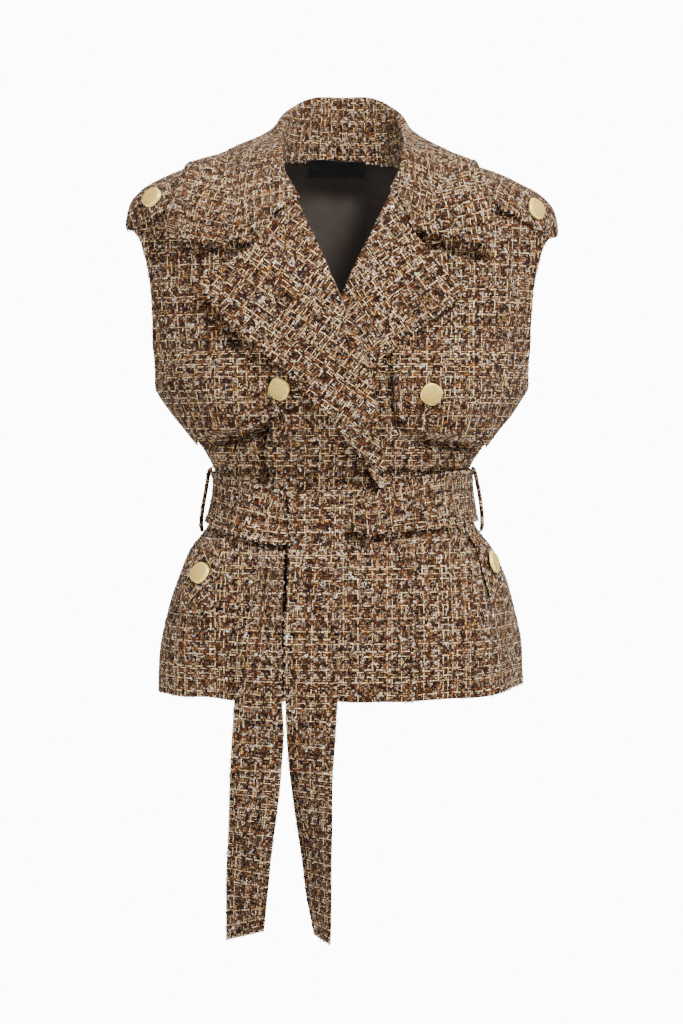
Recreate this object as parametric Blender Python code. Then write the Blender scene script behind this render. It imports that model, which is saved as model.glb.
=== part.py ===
"""Sleeveless, belted, double breasted tweed trench vest, filled out as if worn, with nobody in it.

Every piece that is cut and sewn is its own thin walled solid: back, two fronts, turned lapels, collar,
storm flaps, shoulder straps, belt with its knot and two tails, belt loops, pocket welts, back lining,
label and six metal buttons.  Metres, +Z up, the front faces -Y, the wearer's right is -X.  The origin
is between the shoulders at the height of the neck seam, where a wearer carries the garment.
"""
import math

import bpy
import numpy as np

# ---- driving sizes -------------------------------------------------------------------------------
CLOTH = 0.0020            # tweed wall
SATIN = 0.0010            # lining wall
SEAM_GAP = 0.0003         # air between two pieces that are sewn together
HEM = -0.549              # height of the hem
UNDERARM = -0.235         # height where the side seam meets the armhole
NECK = 0.067              # half width of the neck at the shoulder seam
ROUNDNESS = 2.3           # exponent of the body's oval sections: 2 is an ellipse
FLAP_LIFT = 0.0040        # storm flaps over the fronts, wall centre to wall centre
LEAF_LIFT = 0.0082        # collar and lapels over the fronts
STRAP_LIFT = 0.0082       # shoulder straps over the fronts
BUTTON_WIDTH = 0.0215
BUTTON_HEIGHT = 0.0050
BELT_WALL = 0.0024
LABEL_SIZE = (0.060, 0.0195)
TWEED = (0.105, 0.062, 0.042)

for old in list(bpy.data.objects):
    bpy.data.objects.remove(old, do_unlink=True)


def table(names, *rows):
    """Named columns of a table whose rows run from its first place to its last."""
    return dict(zip(names.split(), np.array(rows, float).T))


def smooth(at, places, values):
    """Cubic curve through the values, with centred slopes, held level past both ends."""
    slopes = np.gradient(values, places)
    at = np.clip(at, places[0], places[-1])
    i = np.clip(np.searchsorted(places, at, side="right") - 1, 0, len(places) - 2)
    span = places[i + 1] - places[i]
    t = (at - places[i]) / span
    return ((2 * t**3 - 3 * t**2 + 1) * values[i] + (t**3 - 2 * t**2 + t) * span * slopes[i]
            + (3 * t**2 - 2 * t**3) * values[i + 1] + (t**3 - t**2) * span * slopes[i + 1])


def ramp(at, low, high):
    """0 below low, 1 above high, an S curve between."""
    t = np.clip((at - low) / (high - low), 0, 1)
    return t * t * (3 - 2 * t)


def unit(vectors):
    return vectors / np.maximum(np.linalg.norm(vectors, axis=-1, keepdims=True), 1e-12)


# ---- the filled out form -------------------------------------------------------------------------
# Oval sections of the body, one row for each level.  A level is a height up to the underarm, and
# from there to 0 a share of the way up to the shoulder line.
BODY = table("level half_width front back",
             (-0.552, 0.1905, 0.1330, 0.1300),
             (-0.520, 0.1890, 0.1320, 0.1280),
             (-0.480, 0.1840, 0.1290, 0.1240),
             (-0.450, 0.1765, 0.1250, 0.1180),
             (-0.420, 0.1655, 0.1180, 0.1080),
             (-0.400, 0.1555, 0.1115, 0.1000),
             (-0.380, 0.1400, 0.1030, 0.0905),
             (-0.350, 0.1300, 0.0960, 0.0830),
             (-0.325, 0.1305, 0.0985, 0.0840),
             (-0.300, 0.1430, 0.1100, 0.0930),
             (-0.280, 0.1575, 0.1185, 0.1000),
             (-0.260, 0.1740, 0.1235, 0.1045),
             (-0.235, 0.1920, 0.1260, 0.1070),
             (-0.200, 0.2010, 0.1265, 0.1090),
             (-0.150, 0.2100, 0.1240, 0.1100),
             (-0.100, 0.2200, 0.1180, 0.1080),
             (-0.050, 0.2280, 0.1110, 0.1030),
             (0.000, 0.2340, 0.1040, 0.1000))

# Shoulder seam, from the neck out, and how far down the cloth takes to turn over it.
SHOULDER = table("across height turn_front turn_back",
                 (0.000, 0.0080, 0.150, 0.060),
                 (0.067, 0.0080, 0.135, 0.060),
                 (0.100, 0.0020, 0.098, 0.058),
                 (0.130, -0.0060, 0.068, 0.055),
                 (0.160, -0.0150, 0.050, 0.052),
                 (0.180, -0.0225, 0.041, 0.048),
                 (0.200, -0.0320, 0.035, 0.044),
                 (0.215, -0.0420, 0.031, 0.040),
                 (0.228, -0.0560, 0.028, 0.036))
SHOULDER_TILT = -0.018    # the wearer's left shoulder hangs a little lower
BACK_NECK_RISE = 0.0265   # the shoulder line, carried on inside the neck
BACK_NECK_DROP = 0.0170   # depth of the neckline below that line, at the centre back
CURL_FRONT = 1.8          # how round the turn over the shoulder is: 2 is an ellipse
CURL_BACK = 2.0

# Large folds that run down the cloth.  The turn is the angle round the body in degrees: 0 is the
# centre front, 90 the wearer's left side, 180 the centre back.
FOLDS = table("turn lean top bottom width depth",
              (-47, 2, -0.262, -0.316, 7, -0.0040),
              (-62, -3, -0.262, -0.316, 9, 0.0035),
              (52, 3, -0.262, -0.316, 8, -0.0035),
              (66, 3, -0.262, -0.314, 9, 0.0030),
              (-58, -8, -0.385, -0.640, 16, 0.0070),
              (-34, -4, -0.385, -0.600, 12, -0.0050),
              (44, 5, -0.385, -0.640, 15, 0.0065),
              (66, 8, -0.385, -0.600, 12, -0.0050),
              (128, -3, -0.370, -0.660, 14, 0.0100),
              (152, -1, -0.365, -0.620, 12, -0.0065),
              (178, 2, -0.370, -0.660, 15, 0.0095),
              (206, 2, -0.365, -0.620, 12, -0.0065),
              (233, 3, -0.370, -0.660, 14, 0.0100),
              (140, 4, -0.230, -0.313, 10, -0.0040),
              (163, 2, -0.240, -0.313, 9, 0.0040),
              (197, -2, -0.240, -0.313, 9, 0.0040),
              (220, -4, -0.230, -0.313, 10, -0.0040))


def shoulder_height(x, side):
    """Height of the shoulder seam across the body; behind, the line rises on inside the neck."""
    inside = np.clip(1 - (x / NECK) ** 2, 0, 1)
    return (smooth(abs(x), SHOULDER["across"], SHOULDER["height"]) + SHOULDER_TILT * x
            + np.where(side > 0, BACK_NECK_RISE * inside, 0))


def height_at(x, level, side):
    line = shoulder_height(x, side)
    return np.where(level < UNDERARM, level, line - level * (line - UNDERARM) / UNDERARM)


def level_at(x, z, side):
    line = shoulder_height(x, side)
    return np.where(z < UNDERARM, z, UNDERARM * (line - z) / (line - UNDERARM))


def fold_relief(turn, z):
    """Sum of the folds at a place: each a round ridge or trough that fades in and out at its ends."""
    relief = np.zeros(np.broadcast(turn, z).shape)
    for i in range(len(FOLDS["turn"])):
        top, bottom = FOLDS["top"][i], FOLDS["bottom"][i]
        middle = FOLDS["turn"][i] + FOLDS["lean"][i] * (top - z) / (top - bottom)
        apart = (turn - middle + 180) % 360 - 180
        across = np.exp(-(apart / FOLDS["width"][i]) ** 2)
        length = top - bottom
        along = ramp(z, bottom - 0.15 * length, bottom + 0.35 * length)
        along = along * (1 - ramp(z, top - 0.45 * length, top))
        relief = relief + FOLDS["depth"][i] * across * along
    return relief


def surface(x, z, side, lift=0.0):
    """Point of the form at a place seen from the front (side -1) or from behind (side 1).

    y is the depth of the oval there times how far the cloth has turned over the shoulder.  The folds
    and the lift then move the point along the gradient of that same equation, its normal.
    """
    x, z, side = np.broadcast_arrays(np.asarray(x, float), np.asarray(z, float), np.asarray(side, float))
    level = level_at(x, z, side)
    half = smooth(level, BODY["level"], BODY["half_width"])
    depth = np.where(side < 0, smooth(level, BODY["level"], BODY["front"]),
                     smooth(level, BODY["level"], BODY["back"]))
    reach = np.where(side < 0, smooth(abs(x), SHOULDER["across"], SHOULDER["turn_front"]),
                     smooth(abs(x), SHOULDER["across"], SHOULDER["turn_back"]))
    curl = np.where(side < 0, CURL_FRONT, CURL_BACK)
    share = np.clip(abs(x) / half, 0, 1)
    ring = (1 - share**ROUNDNESS) ** (1 / ROUNDNESS)
    left = 1 - np.clip((shoulder_height(x, side) - z) / reach, 0, 1)
    over = (1 - left**curl) ** (1 / curl)
    quarter = np.degrees(np.arcsin(share)) * np.sign(x)
    out = fold_relief(np.where(side < 0, quarter, 180 - quarter), z) + lift
    normal = np.stack([np.sign(x) * over**curl * share ** (ROUNDNESS - 1) / half,
                       side * ring ** (ROUNDNESS - 1) * over ** (curl - 1) / depth,
                       ring**ROUNDNESS * left ** (curl - 1) / reach], -1)
    return np.stack([x, side * depth * ring * over, z], -1) + unit(normal) * out[..., None]


def drop_of(x, girth):
    """How far below the shoulder seam a girth comes, negative down the front."""
    reach = np.where(girth < 0, smooth(abs(x), SHOULDER["across"], SHOULDER["turn_front"]),
                     smooth(abs(x), SHOULDER["across"], SHOULDER["turn_back"]))
    curl = np.where(girth < 0, CURL_FRONT, CURL_BACK)
    bend = np.minimum(abs(girth) / reach, math.pi / 2)
    return np.sign(girth) * (reach * (1 - np.cos(bend) ** (2 / curl))
                             + np.maximum(abs(girth) - reach * math.pi / 2, 0))


def over_shoulder(x, girth, lift=0.0):
    """Point of the form by its girth: how far from the shoulder seam, negative down the front."""
    side = np.where(girth < 0, -1.0, 1.0)
    return surface(x, shoulder_height(x, side) - abs(drop_of(x, girth)), side, lift)


def girth_of(x, drop):
    """The girth of a place a drop below the shoulder seam, negative drops down the front."""
    reach = np.where(drop < 0, smooth(abs(x), SHOULDER["across"], SHOULDER["turn_front"]),
                     smooth(abs(x), SHOULDER["across"], SHOULDER["turn_back"]))
    curl = np.where(drop < 0, CURL_FRONT, CURL_BACK)
    bend = np.arccos(np.clip(1 - abs(drop) / reach, 0, 1) ** (curl / 2))
    return np.sign(drop) * (reach * bend + np.maximum(abs(drop) - reach, 0))


def place_x(turn_share, level):
    """Distance from the centre at a share of the quarter turn from centre to side seam."""
    half = smooth(level, BODY["level"], BODY["half_width"])
    return half * np.sin(np.clip(turn_share, -1, 1) * math.pi / 2)


def share_at(x, level):
    """The share of the quarter turn whose distance from the centre is x."""
    half = smooth(level, BODY["level"], BODY["half_width"])
    return np.arcsin(np.clip(x / half, -1, 1)) * 2 / math.pi


# ---- walls ---------------------------------------------------------------------------------------
def material(name, color, roughness, metallic=0.0):
    made = bpy.data.materials.new(name)
    made.use_nodes = True
    shader = made.node_tree.nodes["Principled BSDF"]
    shader.inputs["Base Color"].default_value = (*color, 1)
    shader.inputs["Roughness"].default_value = roughness
    shader.inputs["Metallic"].default_value = metallic
    made.diffuse_color = (*color, 1)
    return made


def solid(name, points, faces, finish):
    """Closed mesh object from its points and faces."""
    mesh = bpy.data.meshes.new(name)
    mesh.from_pydata([tuple(map(float, p)) for p in points], [], faces)
    mesh.validate()
    mesh.materials.append(finish)
    mesh.shade_smooth()
    mesh.set_sharp_from_angle(angle=math.radians(50))
    made = bpy.data.objects.new(name, mesh)
    bpy.context.scene.collection.objects.link(made)
    return made


def grid_faces(first, rows, columns, flip):
    """Triangles of a grid whose points start at number first, every square cut along the same way."""
    faces = []
    for r in range(rows - 1):
        for c in range(columns - 1):
            a = first + r * columns + c
            b = a + columns
            halves = ((a, a + 1, b + 1), (a, b + 1, b))
            faces.extend(half[::-1] if flip else half for half in halves)
    return faces


def wall(name, shape, rows, columns, finish, thickness=CLOTH):
    """Cloth wall round the middle surface shape(row, column), closed by a rim on its four edges.

    Each grid point moves half the thickness along the surface's own normal, to both sides.
    """
    r, c = np.meshgrid(rows, columns, indexing="ij")
    step = 1e-4
    r_lo, r_hi = np.maximum(r - step, rows.min()), np.minimum(r + step, rows.max())
    c_lo, c_hi = np.maximum(c - step, columns.min()), np.minimum(c + step, columns.max())
    middle = shape(r, c)
    normal = unit(np.cross(shape(r, c_hi) - shape(r, c_lo), shape(r_hi, c) - shape(r_lo, c)))
    count_r, count_c = middle.shape[:2]
    outer = (middle + normal * thickness / 2).reshape(-1, 3)
    inner = (middle - normal * thickness / 2).reshape(-1, 3)
    size = count_r * count_c
    faces = grid_faces(0, count_r, count_c, False) + grid_faces(size, count_r, count_c, True)
    ring = ([k for k in range(count_c)] + [(k + 1) * count_c - 1 for k in range(1, count_r)]
            + [size - 2 - k for k in range(count_c - 1)] + [k * count_c for k in range(count_r - 2, 0, -1)])
    for a, b in zip(ring, ring[1:] + ring[:1]):
        faces.append((b, a, a + size, b + size))
    return solid(name, np.vstack([outer, inner]), faces, finish)


def levels(top):
    """Levels from hem to shoulder, closer together at the waist and where the cloth turns over."""
    turn = 0.045 * (1 - np.cos(np.radians((78, 62, 46, 30, 15))))
    return np.concatenate([np.linspace(HEM, -0.40, 7), np.linspace(-0.38, -0.29, 7),
                           np.linspace(-0.27, UNDERARM, 3), np.linspace(-0.22, -0.056, 8), -turn, [top]])


# ---- back and fronts -----------------------------------------------------------------------------
FINISH = {"tweed": material("tweed", TWEED, 0.95), "lining": material("lining", (0.035, 0.028, 0.024), 0.45),
          "label": material("label", (0.008, 0.008, 0.009), 0.6),
          "button": material("button", (0.78, 0.60, 0.27), 0.28, 1.0)}
SEAM_TOP = -3e-7          # level of the shoulder seam, just off the line
SEAM_SHARE = 0.9996       # share of the quarter turn at the side seam
FOLD_GAP = 0.0010         # air between a front's edge and the lapel or collar that turns out over it

# The armhole's edge: its distance from the centre at each level above the underarm.
ARMHOLE = table("level across", (-0.235, 0.1920), (-0.215, 0.1922), (-0.190, 0.1930), (-0.150, 0.1940),
                (-0.110, 0.1975), (-0.075, 0.2030), (-0.050, 0.2095), (-0.030, 0.2165), (-0.012, 0.2225),
                (0.000, 0.2225))
BACK_ARM_PROUD = 0.004    # the back's armhole edge shows this much past the front's

# Front edge of each front, its distance across at each height: straight below the belt, and the
# line on which the lapel rolls back above it.
EDGE_TOP = table("height across", (-0.549, 0.0710), (-0.450, 0.0710), (-0.390, 0.0700),
                 (-0.3385, 0.0460), (-0.296, 0.0350), (-0.240, 0.0270), (-0.200, 0.0160),
                 (-0.1627, 0.0010), (-0.127, -0.0150), (-0.0955, -0.0280), (-0.0655, -0.0420),
                 (-0.040, -0.0540), (-0.017, -0.0620), (0.008, -0.0670))
EDGE_UNDER = table("height across", (-0.549, -0.0710), (-0.450, -0.0710), (-0.390, -0.0700),
                   (-0.3385, -0.0500), (-0.296, -0.0430), (-0.250, -0.0330), (-0.205, -0.0190),
                   (-0.155, 0.0000), (-0.1325, 0.0090), (-0.107, 0.0210), (-0.080, 0.0350),
                   (-0.054, 0.0465), (-0.030, 0.0578), (-0.013, 0.0627), (0.006, 0.0670))


def arm_share(level, proud=0.0):
    """Share of the quarter turn at a panel's outer edge: the side seam, and above it the armhole."""
    edge = share_at(smooth(level, ARMHOLE["level"], ARMHOLE["across"]) + proud, level)
    return np.where(level <= UNDERARM, SEAM_SHARE, np.minimum(edge, SEAM_SHARE))


RIDE_FRONT, RIDE_LAPEL, RIDE_UNDER = 0.0013, 0.0060, 0.0020


def ride_top(x, z):
    """How far the upper front stands out where it laps over the lower one and its lapel."""
    over_lower = RIDE_FRONT * ramp(x, -0.110, -0.080) * (1 - ramp(z, -0.120, -0.060))
    over_lapel = RIDE_LAPEL * ramp(x, -0.075, -0.040) * ramp(z, -0.315, -0.270)
    return over_lower + over_lapel * (1 - ramp(z, -0.135, -0.090))


def ride_under(x, z):
    """How far the lower front draws in where it is lapped over."""
    return -RIDE_UNDER * (1 - ramp(x, 0.080, 0.110)) * (1 - ramp(z, -0.120, -0.060))


def front(name, hand, edge, ride, rows, columns):
    def shape(level, share):
        inner_x = smooth(height_at(0.0, level, -1), edge["height"], edge["across"])
        inner_x = smooth(height_at(inner_x, level, -1), edge["height"], edge["across"])
        inner = share_at(inner_x, level)
        outer = hand * arm_share(level)
        x = place_x(inner + (outer - inner) * share, level)
        z = height_at(x, level, -1)
        return surface(x, z, -1, ride(x, z))
    return wall(name, shape, rows, columns, FINISH["tweed"])


def back_place(level, share):
    """Distance across and height of a place on the back; its top edge dips along the neckline."""
    proud = BACK_ARM_PROUD * ramp(level, -0.16, -0.10) * (1 - ramp(level, -0.03, -0.01))
    turn = share * arm_share(level, proud)
    dip = BACK_NECK_DROP * np.clip(1 - (place_x(turn, 0.0) / NECK) ** 2, 0, 1)
    level = level - dip * ramp(level, -0.12, 0.0)
    x = place_x(turn, level)
    return x, height_at(x, level, 1)


def back_panel(name, lift, finish, thickness, rows, columns):
    def shape(level, share):
        x, z = back_place(level, -share)
        return surface(x, z, 1, lift)
    return wall(name, shape, rows, columns, finish, thickness)


PANEL_ROWS = levels(SEAM_TOP)
NECK_ANGLES = np.radians((0, 18, 36, 54, 72, 90))
ACROSS = np.concatenate([NECK * np.sin(NECK_ANGLES), (0.090, 0.116, 0.142, 0.167, 0.189, 0.208)])
HALF_COLUMNS = np.append(share_at(ACROSS, 0.0) / arm_share(0.0), 1.0)
BACK_COLUMNS = np.concatenate([-HALF_COLUMNS[:0:-1], HALF_COLUMNS])
FRONT_COLUMNS = np.linspace(0, 1, 16) ** 0.85
front("front_right", -1, EDGE_TOP, ride_top, PANEL_ROWS, FRONT_COLUMNS)
front("front_left", 1, EDGE_UNDER, ride_under, PANEL_ROWS, FRONT_COLUMNS)
back_panel("back", 0.0, FINISH["tweed"], CLOTH, PANEL_ROWS, BACK_COLUMNS)

LINING_SLACK = 0.0045     # the lining hangs this far inside the back
LINING_SIDE = 0.92        # and ends at this share of the back's half width
LINING_COLUMNS = np.concatenate([[-LINING_SIDE], BACK_COLUMNS[2:6:2], BACK_COLUMNS[6:-6],
                                 BACK_COLUMNS[-5:-2:2], [LINING_SIDE]])
back_panel("lining_back", -LINING_SLACK, FINISH["lining"], SATIN, PANEL_ROWS[1:-1], LINING_COLUMNS)


# ---- lapels --------------------------------------------------------------------------------------
# Each row runs from the roll line over the lapel's middle to its free edge; the first row is the
# gorge, from the roll over the notch to the lapel's tip.  Front view, metres.
LAPEL_RIGHT = table("place roll mid_x mid_z edge_x edge_z",
                    (0.00, -0.050, -0.0900, -0.0945, -0.1370, -0.1306),
                    (0.10, -0.072, -0.0830, -0.1130, -0.1290, -0.1450),
                    (0.22, -0.098, -0.0710, -0.1350, -0.1140, -0.1640),
                    (0.42, -0.145, -0.0460, -0.1690, -0.0850, -0.1908),
                    (0.62, -0.195, -0.0130, -0.2140, -0.0420, -0.2329),
                    (0.80, -0.245, 0.0085, -0.2560, -0.0110, -0.2670),
                    (0.92, -0.295, 0.0260, -0.2990, 0.0160, -0.3030),
                    (1.00, -0.332, 0.0405, -0.3335, 0.0360, -0.3350))
LAPEL_LEFT = table("place roll mid_x mid_z edge_x edge_z",
                   (0.00, -0.040, 0.0720, -0.0835, 0.1200, -0.1356),
                   (0.15, -0.064, 0.0670, -0.1020, 0.1100, -0.1470),
                   (0.40, -0.108, 0.0490, -0.1410, 0.0830, -0.1690),
                   (0.62, -0.155, 0.0250, -0.1790, 0.0510, -0.1955),
                   (0.84, -0.205, -0.0020, -0.2180, 0.0150, -0.2290),
                   (1.00, -0.236, -0.0210, -0.2410, -0.0130, -0.2460))
LEAF_COLUMNS = np.array([-1.0, -0.75, -0.5, -0.25, 0.0, 0.17, 0.33, 0.5, 0.67, 0.84, 1.0])


def bent(t, first, middle, last):
    """From first over middle to last as t goes 0 to 1, straight on both halves."""
    t = np.clip(t, 0, 1)[..., None]
    return np.where(t < 0.5, first + (middle - first) * 2 * t, middle + (last - middle) * (2 * t - 1))


def lapel(name, cut, edge, ride, leaf_lift, free_lift):
    """Front edge rolled over: a half round fold on the roll line, then the leaf lying on the front."""
    def shape(place, across):
        def column(key):
            return smooth(place, cut["place"], cut[key])
        roll_z = column("roll")
        roll_x = smooth(roll_z, edge["height"], edge["across"])
        lift = leaf_lift(place)
        drop = -SEAM_GAP * (1 - ramp(place, 0.0, 0.1))
        gap = FOLD_GAP * (2 - ramp(place, 0.0, 0.12))
        flat = bent(across, np.stack([roll_x, roll_z], -1), np.stack([column("mid_x"), column("mid_z")], -1),
                    np.stack([column("edge_x"), column("edge_z")], -1))
        x, z = flat[..., 0], flat[..., 1] + drop
        base = ride(roll_x, roll_z)
        away = unit(surface(roll_x, roll_z, -1) - surface(column("mid_x"), column("mid_z"), -1))
        angle = np.clip(across, -1, 0) * math.pi
        fold = surface(roll_x, roll_z + drop, -1, base + lift / 2 * (1 + np.cos(angle)))
        fold = fold + away * (lift / 2 * np.sin(-angle) + gap * np.clip(-across, 0, 1))[..., None]
        leaf = surface(x, z, -1, ride(x, z) + lift + free_lift(place) * np.clip(across, 0, 1) ** 3)
        return np.where((across < 0)[..., None], fold, leaf)
    places = np.linspace(0, 1, 400)
    rolls = smooth(places, cut["place"], cut["roll"])
    heights = height_at(0.0, PANEL_ROWS, -1)
    heights = heights[(heights < rolls[0] - 0.004) & (heights > rolls[-1] + 0.004)]
    rows = np.concatenate([[0.0], np.interp(-heights[::-1], -rolls, places), [1.0]])
    return wall(name, shape, rows, LEAF_COLUMNS, FINISH["tweed"])


lapel("lapel_right", LAPEL_RIGHT, EDGE_TOP, ride_top, lambda s: LEAF_LIFT - 0.0036 * ramp(s, 0.75, 1.0),
      lambda s: 0.0035 * ramp(s, 0.0, 0.4) * (1 - ramp(s, 0.8, 1.0)))
lapel("lapel_left", LAPEL_LEFT, EDGE_UNDER, ride_under, lambda s: LEAF_LIFT - 0.0016 * ramp(s, 0.40, 0.58),
      lambda s: 0.0020 * (1 - ramp(s, 0.3, 0.5)))


# ---- collar --------------------------------------------------------------------------------------
# Stations from the centre back (0) over the shoulder seam (0.72) to the gorge (1).  The fold is the
# top of the stand, where the collar turns over; middle and edge are places on the leaf by their
# distance across and their drop below the shoulder line, negative in front.
COLLAR_SHOULDER = 0.72
COLLAR_RIGHT = table("place fold_x fold_y fold_z mid_x mid_drop edge_x edge_drop",
                     (0.00, 0.0000, 0.0770, 0.0760, 0.000, 0.034, 0.000, 0.072),
                     (0.20, 0.0300, 0.0730, 0.0755, 0.036, 0.029, 0.048, 0.060),
                     (0.40, 0.0520, 0.0570, 0.0640, 0.076, 0.018, 0.098, 0.040),
                     (0.55, 0.0630, 0.0360, 0.0510, 0.098, 0.008, 0.134, 0.021),
                     (0.72, 0.0685, 0.0020, 0.0265, 0.112, -0.003, 0.157, 0.001),
                     (0.82, 0.0675, -0.0348, 0.0128, 0.111, -0.028, 0.163, -0.018),
                     (0.92, 0.0619, -0.0654, -0.0156, 0.102, -0.064, 0.168, -0.044),
                     (1.00, 0.0484, -0.0851, -0.0450, 0.090, -0.0985, 0.170, -0.068))
COLLAR_LEFT = table("place fold_x fold_y fold_z mid_x mid_drop edge_x edge_drop",
                    (0.00, 0.0000, 0.0770, 0.0760, 0.000, 0.034, 0.000, 0.072),
                    (0.20, 0.0300, 0.0730, 0.0755, 0.036, 0.029, 0.046, 0.061),
                    (0.40, 0.0520, 0.0570, 0.0640, 0.073, 0.018, 0.091, 0.042),
                    (0.55, 0.0630, 0.0360, 0.0510, 0.092, 0.008, 0.121, 0.023),
                    (0.72, 0.0685, 0.0020, 0.0265, 0.104, -0.003, 0.137, 0.001),
                    (0.82, 0.0670, -0.0315, 0.0140, 0.100, -0.028, 0.141, -0.020),
                    (0.92, 0.0635, -0.0598, -0.0104, 0.088, -0.060, 0.144, -0.050),
                    (1.00, 0.0524, -0.0778, -0.0348, 0.072, -0.0882, 0.146, -0.079))
for sides in (COLLAR_RIGHT, COLLAR_LEFT):
    for line in ("mid", "edge"):
        sides[line + "_girth"] = girth_of(sides[line + "_x"], sides[line + "_drop"])
LEAF_CROWN = 0.0025       # how far the leaf stands up between the turned edge and its free edge
COLLAR_ROLL = 0.0041      # radius of the turned top edge
COLLAR_OVER_STRAP = 0.0040
COLLAR_FOOT = 0.0045      # height of the stand where it runs out at the gorge


def collar_seam(place, hand):
    """Distance across and girth of the seam: along the back's neckline, then down the rolled edge."""
    size = abs(place)
    bend = np.clip(size / COLLAR_SHOULDER, 0, 1) * math.pi / 2
    x_back = NECK * np.sin(bend)
    girth_back = girth_of(x_back, BACK_NECK_DROP * np.cos(bend) ** 2)
    corner = shoulder_height(hand * NECK, -1)
    gorge = np.where(hand < 0, LAPEL_RIGHT["roll"][0], LAPEL_LEFT["roll"][0]) + 2 * SEAM_GAP
    down = np.clip((size - COLLAR_SHOULDER) / (1 - COLLAR_SHOULDER), 0, 1)
    z = corner + drop_of(NECK, girth_of(NECK, gorge - corner) * down)
    x_front = np.where(hand < 0, smooth(z, EDGE_TOP["height"], -EDGE_TOP["across"]),
                       smooth(z, EDGE_UNDER["height"], EDGE_UNDER["across"]))
    girth_front = girth_of(x_front, np.minimum(z - shoulder_height(hand * x_front, -1), 0))
    behind = size < COLLAR_SHOULDER
    return hand * np.where(behind, x_back, x_front), np.where(behind, girth_back, girth_front)


def collar(place, across):
    """Stand (across -2 to -1), turned top edge (-1 to 0) and leaf (0 to 1) of the collar.

    The leaf lies on the shoulders at its free edge; towards the turned edge it keeps the rise of
    that edge over the neck seam, fading by a power of how far it has come.
    """
    hand = np.where(place < 0, -1.0, 1.0)
    size = abs(place)

    def column(key):
        return np.where(hand < 0, smooth(size, COLLAR_RIGHT["place"], COLLAR_RIGHT[key]),
                        smooth(size, COLLAR_LEFT["place"], COLLAR_LEFT[key]))
    seam_x, seam_girth = collar_seam(place, hand)
    seam = over_shoulder(seam_x, seam_girth)
    lying = over_shoulder(seam_x, seam_girth, LEAF_LIFT)
    fold = np.stack([hand * column("fold_x"), column("fold_y"), column("fold_z")], -1)
    sideways = unit(np.stack([seam[..., 0], np.maximum(seam[..., 1], 0) + 1e-4, 0 * size], -1))
    front_share = ramp(size, COLLAR_SHOULDER, 1.0)[..., None]
    out = unit(sideways * (1 - front_share) + unit(lying - seam) * front_share)
    middle = over_shoulder(hand * column("mid_x"), column("mid_girth"))
    inward = unit(seam - middle)
    end_fold = seam + out * COLLAR_ROLL + inward * COLLAR_FOOT
    fold = fold + (end_fold - fold) * ramp(size, 0.88, 1.0)[..., None]
    rise = (fold - seam) + inward * 0.0012
    rise = unit(rise - out * np.sum(rise * out, -1, keepdims=True))
    stand_t = np.clip(across + 2, 0, 1)[..., None]
    foot = seam + rise * FOLD_GAP * 2
    stand = foot + (fold - out * COLLAR_ROLL - foot) * stand_t
    angle = (np.clip(across, -1, 0)[..., None] + 0.5) * math.pi
    turned = fold + COLLAR_ROLL * (np.sin(angle) * out + np.cos(angle) * rise)
    t = np.clip(across, 0, 1)
    start = np.stack([seam_x, seam_girth], -1)
    flat = bent(t, start, np.stack([hand * column("mid_x"), column("mid_girth")], -1),
                np.stack([hand * column("edge_x"), column("edge_girth")], -1))
    over_strap = COLLAR_OVER_STRAP * ramp(t, 0.45, 0.8) * ramp(size, 0.50, 0.64) * (1 - ramp(size, 0.93, 1.06))
    lift = LEAF_LIFT + over_strap + LEAF_CROWN * np.sin(math.pi * t)
    leaf = over_shoulder(flat[..., 0], flat[..., 1], lift)
    leaf = leaf + (fold + COLLAR_ROLL * out - lying) * ((1 - t) ** 1.7)[..., None]
    puff = 0.0050 * np.sin(np.clip(t / 0.7, 0, 1) * math.pi) * (1 - ramp(size, 0.7, 0.95))
    leaf = leaf + sideways * puff[..., None]
    picked = np.where((across < -1)[..., None], stand, turned)
    return np.where((across >= 0)[..., None], leaf, picked)


COLLAR_COLUMNS = np.array([-2, -1.5, -1.0, -0.75, -0.5, -0.25, 0, 0.16, 0.33, 0.5, 0.66, 0.83, 1])
COLLAR_HALF = np.concatenate([np.linspace(0, COLLAR_SHOULDER, 11), np.linspace(COLLAR_SHOULDER, 1, 10)[1:]])
COLLAR_ROWS = np.concatenate([-COLLAR_HALF[:0:-1], COLLAR_HALF])
wall("collar", collar, COLLAR_ROWS, COLLAR_COLUMNS, FINISH["tweed"])


# ---- storm flaps ---------------------------------------------------------------------------------
# A flap hangs over each front from the shoulder and armhole seams; its lower edge is free.
FLAP_RIGHT = table("share bottom inner_level inner_x", (0.00, -0.2460, -0.2460, -0.0310),
                   (0.27, -0.2640, -0.2000, -0.0400), (0.45, -0.2760, -0.1500, -0.0620),
                   (0.65, -0.2840, -0.0900, -0.0950), (1.00, -0.2930, -0.0040, -0.1150))
FLAP_LEFT = table("share bottom inner_level inner_x", (0.00, -0.2640, -0.2700, 0.0590),
                  (0.10, -0.2780, -0.2300, 0.0530), (0.30, -0.2815, -0.1500, 0.0510),
                  (0.65, -0.2890, -0.0900, 0.0800), (1.00, -0.2950, -0.0040, 0.1050))
FLAP_TOP = -0.0035        # level of the flap's top edge, under the shoulder strap
FLAP_SIDE = 0.965         # share of the quarter turn at the flap's side, below the armhole
FLAP_FREE = 0.0040        # how much further the flap's free corner stands out
FLAP_INSET = 0.0035       # the front's armhole edge shows this much past the flap


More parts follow.
